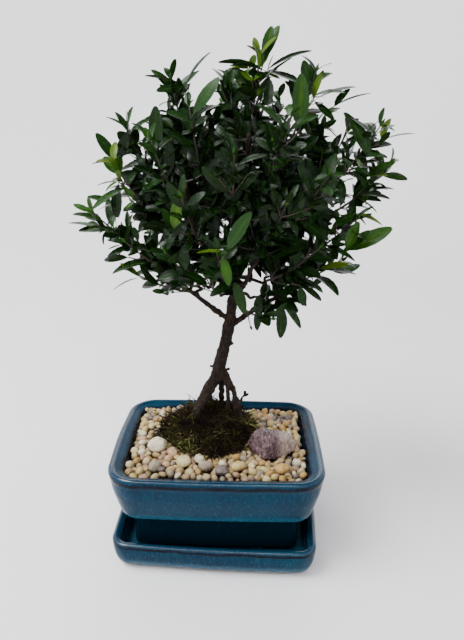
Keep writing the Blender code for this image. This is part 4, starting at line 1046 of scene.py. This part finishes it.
# %% Limbs, branchlets and the finished wood
LIMB_SIDES = 10
wood = Heap()
wood.points.append(bark_points)
wood.count = len(bark_points)
for path, start, end in limb_paths:
    fine = smooth_path(path, 3)
    lumps = 0.12 * noise(fine[:, None] + 2 * round_offsets(LIMB_SIDES)[None], 3.0, 64)
    wood.add(rings_along(fine, np.linspace(start, end, len(fine))[:, None] * (1 + lumps), LIMB_SIDES))
upper_trunk = smooth_path(np.array(TRUNK, float) + TREE_FOOT, 2)[12:-1]
limb_points = np.vstack([path[1:-1] for path, _, _ in limb_paths] + [upper_trunk])
taken = np.zeros(len(limb_points))
for tip, foot in zip(tips, feet):
    axis = unit(tip - foot)
    below = foot - limb_points
    cost = np.linalg.norm(below, axis=1) + 3 * np.maximum(0, 6 - below @ axis) + 1000 * taken
    best = int(np.argmin(cost))
    taken[best] = 1
    start = limb_points[best]
    middle = (start + foot) / 2 - np.array([0.0, 0.0, 0.12 * (foot - start)[2]])
    path = smooth_path([start, middle, foot - 3 * axis, foot + 0.6 * axis], 4)
    wood.add(rings_along(path, np.linspace(TWIG_RADIUS * 1.5, TWIG_RADIUS * 1.1, len(path)), 8))

bark = Finish("rough_bark", roughness=0.82, gloss=0.15)
run = bark.speckle((900, 900, 220), 4.0, 0.7)
blotch = bark.speckle((120, 120, 80), 3.0)
wood_colour = bark.ramp(run, [
    (0.32, (0.002, 0.0013, 0.001)), (0.5, (0.009, 0.0055, 0.004)), (0.62, (0.024, 0.015, 0.010)),
    (0.8, (0.085, 0.058, 0.038)),
])
bark.colour(bark.mix(bark.spread(blotch, 0.45, 0.75, 0.0, 0.5), wood_colour, (0.026, 0.011, 0.005)))
bark.bump(run, 0.0007, 0.9)

points = np.concatenate(wood.points) * MM + POT_MIDDLE
wood_mesh = bpy.data.meshes.new("living_wood")
tube_faces = np.concatenate(wood.quads).tolist() + np.concatenate(wood.tris).tolist()
wood_mesh.from_pydata(points, [], bark_faces + tube_faces)
wood_mesh.materials.append(bark.material)
wood_mesh.shade_smooth()
settle(stand("living_wood", wood_mesh), "bark", "trunk_and_branches")

# %% [markdown]
# ## Leaves
# Each leaf is a narrow, blunt ellipse, glossy, folded a little along its midrib and arched along
# its length. It is one closed skin: rings of seven points across the blade, four strips on top
# and three below, run from the stalk to the tip. Leaves stand in opposite
# pairs, each pair at right angles to the last, as they do on the living plant.

# %% One leaf shape for every place
LEAF_STATIONS = np.array([0.0, 0.07, 0.2, 0.38, 0.57, 0.76, 0.9, 0.975])
LEAF_ACROSS = np.array([1.0, 0.5, 0.0, -0.5, -1.0, -0.45, 0.45])
LEAF_LIFT = np.array([0.0, 1.0, 1.0, 1.0, 0.0, -1.0, -1.0])
LEAF_SIDE = np.array([0, 0, 0, 0, 1, 1, 1])
LEAF_UV = np.stack(np.broadcast_arrays(LEAF_ACROSS[None, :] / 2 + 0.5, LEAF_STATIONS[:, None]), axis=-1)
STALK_HALF, BLADE_HALF_THICK = 0.32, 0.13


def leaf_grids(foot, across, face, along, length, width, arch, fold, twist):
    """Point of a leaf at share s along it and w across it: the foot, plus s length along, minus
    arch length (s^2 - 0.35 s (1 - s)) face, plus w h(s) across, plus (fold |w| h(s) +- thickness)
    face. h(s) is width / 2 times sin(pi u)^0.62, u being the share beyond the stalk."""
    s = LEAF_STATIONS[None, :, None]
    w = LEAF_ACROSS[None, None, :]
    blade = np.clip((LEAF_STATIONS - 0.06) / 0.94, 0, 1)
    half = 0.5 * np.abs(np.sin(math.pi * blade)) ** 0.62
    stalk = np.where(LEAF_STATIONS < 0.1, STALK_HALF, 0.1)
    half = np.maximum(half[None] * width[:, None], stalk)[..., None]
    turn = (twist[:, None] * LEAF_STATIONS)[..., None, None]
    side = across[:, None, None] * np.cos(turn) + face[:, None, None] * np.sin(turn)
    lift = face[:, None, None] * np.cos(turn) - across[:, None, None] * np.sin(turn)
    spine = (s * length[:, None, None])[..., None] * along[:, None, None]
    sag = (arch * length)[:, None, None] * (s ** 2 - 0.35 * s * (1 - s))
    spine = spine - sag[..., None] * face[:, None, None]
    rise = fold[:, None, None] * np.abs(w) * half
    rise = rise + BLADE_HALF_THICK * LEAF_LIFT * np.minimum(1, half / 0.6)
    return foot[:, None, None] + spine + (w * half)[..., None] * side + rise[..., None] * lift


# %% [markdown]
# A leaf's top is a dark waxy green with a pale midrib; its underside is duller and paler. Young
# leaves are yellow-green, so the colour follows the leaf's tone: 0 is an old leaf deep in the
# crown, 1 has just unfolded. Low tones near the crown's middle are also painted shade. Old twigs
# are dark brown, younger ones reddish, and buds green.

# %% Leaf and twig finishes
def make_leaf_finish(name, tone_colours, roughness, rib_gain, shine):
    """The four colours go with tones of old, grown, young and fresh leaves; the old one also stands for
    painted shade deep in the crown.
    """
    leaf = Finish(name, roughness=roughness, gloss=shine)
    age_and_shade = leaf.ramp(leaf.attribute("tone"), list(zip((0.0, 0.3, 0.6, 1.0), tone_colours)))
    mottle = leaf.speckle((230, 230, 230), 3.0)
    shade = leaf.mix(leaf.spread(mottle, 0.35, 0.7, 0.0, 0.45), age_and_shade, (0.003, 0.009, 0.003))
    split = leaf.node("ShaderNodeSeparateXYZ")
    leaf.link(leaf.places.outputs["UV"], split.inputs["Vector"])
    from_rib = leaf.maths("ABSOLUTE", leaf.maths("SUBTRACT", split.outputs["X"], 0.5))
    rib = leaf.spread(from_rib, 0.01, 0.05, rib_gain, 0.0)
    leaf.colour(leaf.mix(rib, shade, (0.035, 0.09, 0.012)))
    leaf.rough(leaf.spread(mottle, 0.3, 0.7, roughness - 0.06, roughness + 0.12))
    veins = leaf.node("ShaderNodeTexWave")
    veins.bands_direction = "DIAGONAL"
    veins.inputs["Scale"].default_value = 4.0
    veins.inputs["Distortion"].default_value = 1.5
    leaf.link(leaf.places.outputs["UV"], veins.inputs["Vector"])
    leaf.bump(leaf.mix(0.8, veins.outputs["Fac"], mottle), 0.0004, 0.35)
    return leaf.material


# Colours by tone: the darkest is an old leaf and also painted shade for the crown's core.
TOP_TONE_COLOURS = [(0.0012, 0.0052, 0.0007), (0.0062, 0.029, 0.0026), (0.022, 0.075, 0.0035), (0.12, 0.17, 0.008)]
UNDER_TONE_COLOURS = [(0.004, 0.010, 0.002), (0.016, 0.042, 0.007), (0.046, 0.10, 0.009), (0.15, 0.19, 0.02)]
leaf_top = make_leaf_finish("waxy_leaf_top", TOP_TONE_COLOURS, 0.22, 0.2, 0.13)
leaf_under = make_leaf_finish("leaf_underside", UNDER_TONE_COLOURS, 0.55, 0.3, 0.03)
twig = Finish("young_twig", roughness=0.6)
streaks = twig.speckle((700, 700, 300), 3.0)
twig_age = twig.ramp(twig.attribute("tone"), [
    (0.0, (0.010, 0.006, 0.004)), (0.5, (0.035, 0.018, 0.009)), (1.0, (0.075, 0.065, 0.014)),
])
twig.colour(twig.mix(twig.spread(streaks, 0.4, 0.7, 0.0, 0.5), twig_age, (0.006, 0.004, 0.003)))
twig.bump(streaks, 0.0002, 0.5)
LEAFY = [leaf_top, leaf_under, twig.material]

# %% [markdown]
# A spray is one twig with everything that grows on it. Its stems, leaves and buds are gathered
# first and turned into one mesh at the end, so that all leaves of a spray are worked out together
# as whole arrays.

# %% A spray
PETIOLE = 0.5
SHADED_CORE, OPEN_AIR = 28, 78
# The crown's underside: places across the tree and the lowest leaves there, from the tree's foot.
UNDERSIDE = np.array([
    (-110, 150), (-98, 137), (-72, 115), (-52, 96), (-36, 92), (-20, 98), (-5, 104), (2, 104),
    (8, 94), (17, 84), (33, 76), (61, 76), (68, 90), (92, 104), (117, 125), (130, 140),
])
TO_WINDOW = np.array([-0.15, -0.45, 0.55])


def along_path(path, stations):
    """Places on a path at distances from its start, and the direction there."""
    steps = np.append(0, np.cumsum(np.linalg.norm(np.diff(path, axis=0), axis=1)))
    place = lambda d: np.stack([np.interp(d, steps, path[:, axis]) for axis in range(3)], axis=-1)
    return place(stations), unit(place(stations + 1.2) - place(stations - 1.2) + 1e-9)


class Spray:
    """Stems, leaves and buds of one twig, made into one mesh by piece()."""

    def __init__(self, seed):
        self.draw = np.random.default_rng(seed)
        self.heap = Heap()
        self.rows = []
        self.kept = []

    def stem(self, path, start, end, tone):
        """A six-sided twig along a path, whose radius falls evenly from start to end."""
        self.heap.add(rings_along(path, np.linspace(start, end, len(path)), 6), finish=2, tone=tone)

    def leaf(self, foot, along, face, length, width, tone, arch=None):
        """face is where the leaf's top looks, before it is made square to the leaf's length. A
        leaf that would hang below the crown's underside is left out, unless its arch is given."""
        lowest = foot + along * length * 0.8 - TREE_FOOT
        hanging = lowest[2] + 0.3 * lowest[1] < np.interp(lowest[0], *UNDERSIDE.T)
        self.kept.append(arch is not None or not hanging)
        arch = self.draw.uniform(0.02, 0.28) if arch is None else arch
        self.rows.append((*foot, *along, *face, length, width, tone, arch))

    def pairs(self, path, first, spacing, leaf_length, leaf_width, tone, fresh, side_twigs=0):
        """Opposite pairs along a path, smaller towards the tip and near the line of the trunk, where
        leaves are shaded and old; there their tone is also lowered, painted shade that darkens them.
        Returns places for side twigs."""
        draw = self.draw
        total = np.linalg.norm(np.diff(path, axis=0), axis=1).sum()
        stations = np.linspace(first, max(total, first + 1), max(2, int((total - first) / spacing) + 1))
        places, axes = along_path(path, stations)
        turn = draw.uniform(0, math.pi / 2)
        starts = []
        for pair, (place, axis) in enumerate(zip(places, axes)):
            share = pair / (len(stations) - 1)
            helper = np.array([0.0, 0.0, 1.0]) if abs(axis[2]) < 0.9 else np.array([0.0, 1.0, 0.0])
            across = unit(np.cross(helper, axis))
            upward = np.cross(axis, across)
            for half in range(2):
                angle = turn + pair * math.pi / 2 + half * math.pi + draw.normal(0, 0.2)
                outward = across * math.cos(angle) + upward * math.sin(angle)
                if pair < side_twigs and draw.random() < 0.75:
                    starts.append((place, axis, outward, share))
                grown = (0.75 + 0.25 * min(1, share * 3)) * (1 - 0.45 * max(0, share - 0.7) / 0.3)
                off_middle = np.linalg.norm((place - TREE_FOOT - CROWN_MIDDLE)[[0, 2]])
                open_air = np.interp(off_middle, [SHADED_CORE, OPEN_AIR], [0, 1])
                grown *= 0.82 + 0.18 * open_air
                rise = math.radians(draw.uniform(18, 52) + 14 * share)
                along = unit(outward * math.cos(rise) + axis * math.sin(rise) + draw.normal(0, 0.14, 3))
                face = axis * 0.5 + TO_WINDOW + draw.normal(0, 0.32, 3)
                age_and_shade = tone + fresh * max(0, share - 0.45) * 1.8 + draw.uniform(0, 0.16)
                # Painted shade: leaves near the crown's middle get a lower, darker tone.
                age_and_shade = age_and_shade * (0.3 + 0.7 * open_air)
                length = leaf_length * grown * draw.uniform(0.72, 1.14)
                width = leaf_width * grown * draw.uniform(0.85, 1.15)
                self.leaf(place + outward * PETIOLE, along, face, length, width, min(age_and_shade, 1.0))
        return starts

    def bud(self, tip, axis, size, tone):
        """Two closed young leaves: a pointed drop along the axis."""
        path = tip + np.linspace(0, 1, 5)[:, None] * size * axis
        self.heap.add(rings_along(path, size * np.array([0.12, 0.24, 0.22, 0.13, 0.03]), 6), tone=tone)

    def piece(self, name):
        """One object from the stems, the buds and every leaf that was kept."""
        rows = np.array([row for row, kept in zip(self.rows, self.kept) if kept])
        foot, along, face = rows[:, 0:3], unit(rows[:, 3:6]), rows[:, 6:9]
        length, width, tone, arch = rows[:, 9:].T
        face = unit(face - (face * along).sum(axis=1)[:, None] * along)
        fold = self.draw.uniform(0.1, 0.42, len(rows))
        twist = self.draw.normal(0, 0.22, len(rows))
        self.heap.add(leaf_grids(foot, np.cross(face, along), face, along, length, width, arch, fold, twist),
                      finish=LEAF_SIDE, tone=tone, uv=LEAF_UV)
        return self.heap.piece(name, LEAFY, sharp=55)


# %% [markdown]
# The crown has three parts. The imported model says where the main twigs are, and each gets leaves
# and side twigs. The twigs nearest the outside carry listed shoots, because they draw the tree's
# outline. That list was worked out outside this script and then adjusted. The inside is filled
# with short leafy twigs on the limbs, whose leaves are older, shorter and darker; the dark is partly painted
# shade.

# %% Outer shoots, each with its end and its leaves
# A shoot is (end of the stem, leaves), a leaf is (tip, age, turn in degrees away from the front).
OUTER_SHOOTS = [
    ((29, 0, 247), [((33, 1, 267), 0.38, 5), ((37, 7, 269), 0.42, 25), ((19, 2, 257), 0.3, 60)]),
    ((30, 0, 241), [((1, -2, 249), 0.2, 65), ((57, -1, 256), 0.2, 60), ((8, 8, 247), 0.2, 60),
                    ((52, -7, 236), 0.1, 30)]),
    ((32, -3, 238), [((32, -12, 221), 0.05, 0)]),
    ((-21, -5, 231), [((-7, -5, 253), 0.3, 60), ((-45, -6, 240), 0.2, 65), ((-38, -13, 229), 0.15, 15)]),
    ((-15, -22, 214), [((1, -26, 236), 0.35, 10)]),
    ((50, -39, 207), [((49, -45, 237), 0.4, 0)]),
    ((61, -4, 224), [((65, -4, 242), 0.7, 45), ((86, -4, 235), 0.2, 55), ((74, -13, 213), 0.1, 20)]),
    ((74, -4, 220), [((96, -3, 231), 0.3, 60), ((83, -7, 231), 0.15, 15)]),
    ((84, -9, 214), [((103, -10, 203), 0.1, 40), ((98, -16, 192), 0.2, 10)]),
    ((106, -6, 200), [((110, -6, 214), 0.85, 40), ((126, -6, 207), 0.4, 60), ((84, -11, 206), 0.4, 30)]),
    ((97, -10, 177), [((115, -10, 188), 0.4, 20), ((110, -14, 180), 0.8, 40), ((90, -15, 190), 0.7, 40)]),
    ((90, -9, 165), [((115, -6, 166), 0.05, 70), ((107, -14, 157), 0.2, 60)]),
    ((91, -13, 154), [((111, -14, 148), 0.8, 35), ((79, -23, 148), 0.3, 10)]),
    ((87, -17, 129), [((116, -18, 146), 0.45, 0), ((92, -23, 150), 0.55, 20), ((100, -22, 145), 0.4, 30)]),
    ((68, -27, 119), [((69, -29, 142), 0.05, 5), ((95, -21, 117), 0.3, 45), ((87, -29, 125), 0.8, 40)]),
    ((61, -33, 135), [((38, -43, 131), 0.2, 25)]),
    ((56, -29, 108), [((59, -35, 96), 0.25, 10), ((72, -29, 99), 0.1, 35), ((42, -33, 104), 0.2, 30)]),
    ((45, -23, 93), [((45, -29, 70), 0.15, 10), ((60, -25, 77), 0.2, 35), ((31, -28, 89), 0.05, 20)]),
    ((31, -24, 93), [((28, -28, 75), 0.1, 20)]),
    ((12, -36, 113), [((20, -44, 93), 0.35, 15), ((-3, -44, 105), 0.15, 15)]),
    ((8, -70, 140), [((21, -76, 164), 0.25, 15), ((-9, -72, 141), 0.75, 45)]),
    ((6, -72, 138), [((10, -78, 122), 0.6, 10)]),
    ((-24, -55, 148), [((-19, -60, 171), 0.65, 5), ((-30, -56, 162), 0.3, 20)]),
    ((-76, -11, 139), [((-100, -12, 147), 0.45, 55), ((-84, -11, 152), 0.5, 60)]),
    ((-70, -9, 157), [((-87, -9, 163), 0.3, 35), ((-81, -9, 154), 0.2, 45)]),
    ((-53, -15, 108), [((-73, -15, 101), 0.4, 65), ((-65, -17, 119), 0.8, 40)]),
    ((-60, -15, 122), [((-77, -17, 121), 0.05, 20), ((-55, -21, 136), 0.2, 40)]),
    ((-66, -9, 184), [((-78, -9, 203), 0.3, 20), ((-57, -15, 203), 0.0, 0), ((-82, -11, 185), 0.2, 55)]),
    ((-65, -11, 172), [((-80, -11, 171), 0.2, 55), ((-67, -19, 150), 0.0, 30)]),
    ((-64, -15, 146), [((-59, -19, 127), 0.0, 30)]),
    ((-36, -31, 194), [((-36, -35, 219), 0.15, 10), ((-51, -23, 211), 0.2, 50)]),
    ((-58, -7, 203), [((-65, -7, 216), 0.3, 40), ((-41, -13, 213), 0.2, 30)]),
]


def add_outer_shoot(spray, path, end, leaves):
    """A slender stem leaves the path two points before the one nearest to the shoot's end and sags
    on its way there; every leaf goes from that end to its own tip."""
    distance = np.linalg.norm(path - end, axis=1)
    foot = path[max(0, int(np.argmin(distance)) - 2)]
    lift = np.array([0.0, 0.0, 0.1 * np.linalg.norm(end - foot)])
    stem = smooth_path([foot, (foot + end) / 2 - lift, end], 4)
    spray.stem(stem, 0.62, 0.45, 0.5)
    for tip, tone, turn in leaves:
        reach = TREE_FOOT + np.array(tip, float) - end
        length = np.linalg.norm(reach)
        along = reach / length
        front = np.array([0.0, -0.8, 0.6])
        front = unit(front - (front @ along) * along)
        side = np.cross(along, front)
        side = side if side[2] > 0 else -side
        face = front * math.cos(math.radians(turn)) + side * math.sin(math.radians(turn))
        arch = 0.04 + 0.1 * math.sin(math.radians(turn))
        spray.leaf(end, along, face, length * 1.02, np.clip(0.36 * length, 6.5, 10.2), tone, arch)


# %% Main twigs, with fewer leaves on the low ones, which stand in the shade
LOW_TWIG = 138.0
paths = []
for tip, foot in zip(tips, feet):
    shares = np.linspace(0, 1, 14)[:, None]
    away = tip - foot
    sag = np.array([0.0, 0.0, -0.07 * np.linalg.norm(away)])
    paths.append(foot + away * shares + sag * 4 * shares * (1 - shares))
nearest = {}
for end, leaves in OUTER_SHOOTS:
    spot = TREE_FOOT + np.array(end, float)
    away = [np.linalg.norm(path - spot, axis=1).min() for path in paths]
    nearest.setdefault(int(np.argmin(away)), []).append((spot, leaves))
leaf_total = 0
for number, path in enumerate(paths, 1):
    spray = Spray(500 + number)
    draw = spray.draw
    fresh = draw.choice([0.05, 0.25, 0.6], p=[0.6, 0.28, 0.12])
    spray.stem(path, TWIG_RADIUS, 0.45, 0.2)
    low = tips[number - 1][2] < TREE_FOOT[2] + LOW_TWIG
    spacing, side_twigs = (9.5, 2) if low else (7.4, 4)
    starts = spray.pairs(path, 4.0, spacing, 26.0, 9.0, 0.12, fresh, side_twigs)
    bud_axis = unit(path[-1] - path[-2])
    spray.bud(path[-1], bud_axis, draw.uniform(3.5, 6.0), 0.5 + fresh / 2)
    for place, axis, outward, share in starts:
        size = draw.uniform(8, 17) * (1 - 0.35 * share)
        heading = unit(outward + axis * draw.uniform(0.5, 1.4) + np.array([0, 0, 0.2]))
        bend = unit(axis - (axis @ heading) * heading) * size * 0.12
        shares = np.linspace(0, 1, 7)[:, None]
        side_path = place + heading * size * shares + bend * shares ** 2
        spray.stem(side_path, 0.55, 0.3, 0.5)
        spray.pairs(side_path, 4.5, 6.2, 20.5, 7.8, 0.06, fresh)
        bud_axis = unit(side_path[-1] - side_path[-2])
        spray.bud(side_path[-1], bud_axis, draw.uniform(2.0, 4.0), 0.4 + fresh / 2)
    for spot, leaves in nearest.get(number - 1, []):
        add_outer_shoot(spray, path, spot, leaves)
    leaf_total += sum(spray.kept)
    settle(spray.piece(f"leafy_spray_{number:02d}"), "leaf", f"spray_{number:02d}")
print(leaf_total, "leaves on the main twigs")

# %% Inner twigs
INNER_TWIGS = 240
LONGEST_INNER = 34.0
CORE_REACH = np.array([62.0, 58.0, 58.0])
inner = Spray(900)
draw = inner.draw
heads = unit(draw.normal(size=(INNER_TWIGS, 3))) * draw.uniform(0.25, 1.0, (INNER_TWIGS, 1)) ** 0.5
ends = TREE_FOOT + CROWN_MIDDLE + np.array([0.0, 2.0, 4.0]) + heads * CORE_REACH
carriers = np.vstack([smooth_path(path, 4) for path, _, _ in limb_paths])
for end in ends:
    distance = np.linalg.norm(carriers - end, axis=1)
    foot = carriers[int(np.argmin(distance + 12 * np.maximum(0, carriers[:, 2] - end[2])))]
    reach = end - foot
    end = foot + reach * min(1.0, LONGEST_INNER / np.linalg.norm(reach))
    middle = (foot + end) / 2 - np.array([0.0, 0.0, 0.08 * np.linalg.norm(end - foot)])
    stem = smooth_path([foot, middle, end], 4)
    inner.stem(stem, 0.7, 0.35, 0.05)
    # Inner leaves start at tone 0, dark: partly old leaves, partly painted shade of the crown's core.
    inner.pairs(stem, 5.0, 5.4, 23.0, 9.4, 0.0, 0.1)
settle(inner.piece("inner_twigs"), "leaf")
print(sum(inner.kept), "leaves on the inner twigs")

# %% [markdown]
# ## Hidden pieces
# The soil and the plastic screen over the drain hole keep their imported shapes, which are right,
# and only get their own finish.

# %% Soil and screen
soil_finish = Finish("potting_soil", roughness=0.95)
crumb = soil_finish.speckle((400, 400, 400), 5.0, 0.7)
soil_finish.colour(soil_finish.ramp(crumb, [
    (0.3, (0.012, 0.008, 0.005)), (0.6, (0.05, 0.032, 0.02)), (0.8, (0.12, 0.09, 0.06)),
]))
soil_finish.bump(crumb, 0.0012, 1.0)
screen_finish = Finish("screen_plastic", roughness=0.45)
dust = screen_finish.speckle((300, 300, 300), 3.0)
screen_finish.colour(screen_finish.ramp(dust, [(0.3, (0.012, 0.012, 0.013)), (0.75, (0.04, 0.036, 0.03))]))
screen_finish.bump(dust, 0.0002, 0.4)
for node, finish in (("soil", soil_finish), ("drain_screen", screen_finish)):
    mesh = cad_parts[node].data
    mesh.materials.clear()
    mesh.materials.append(finish.material)
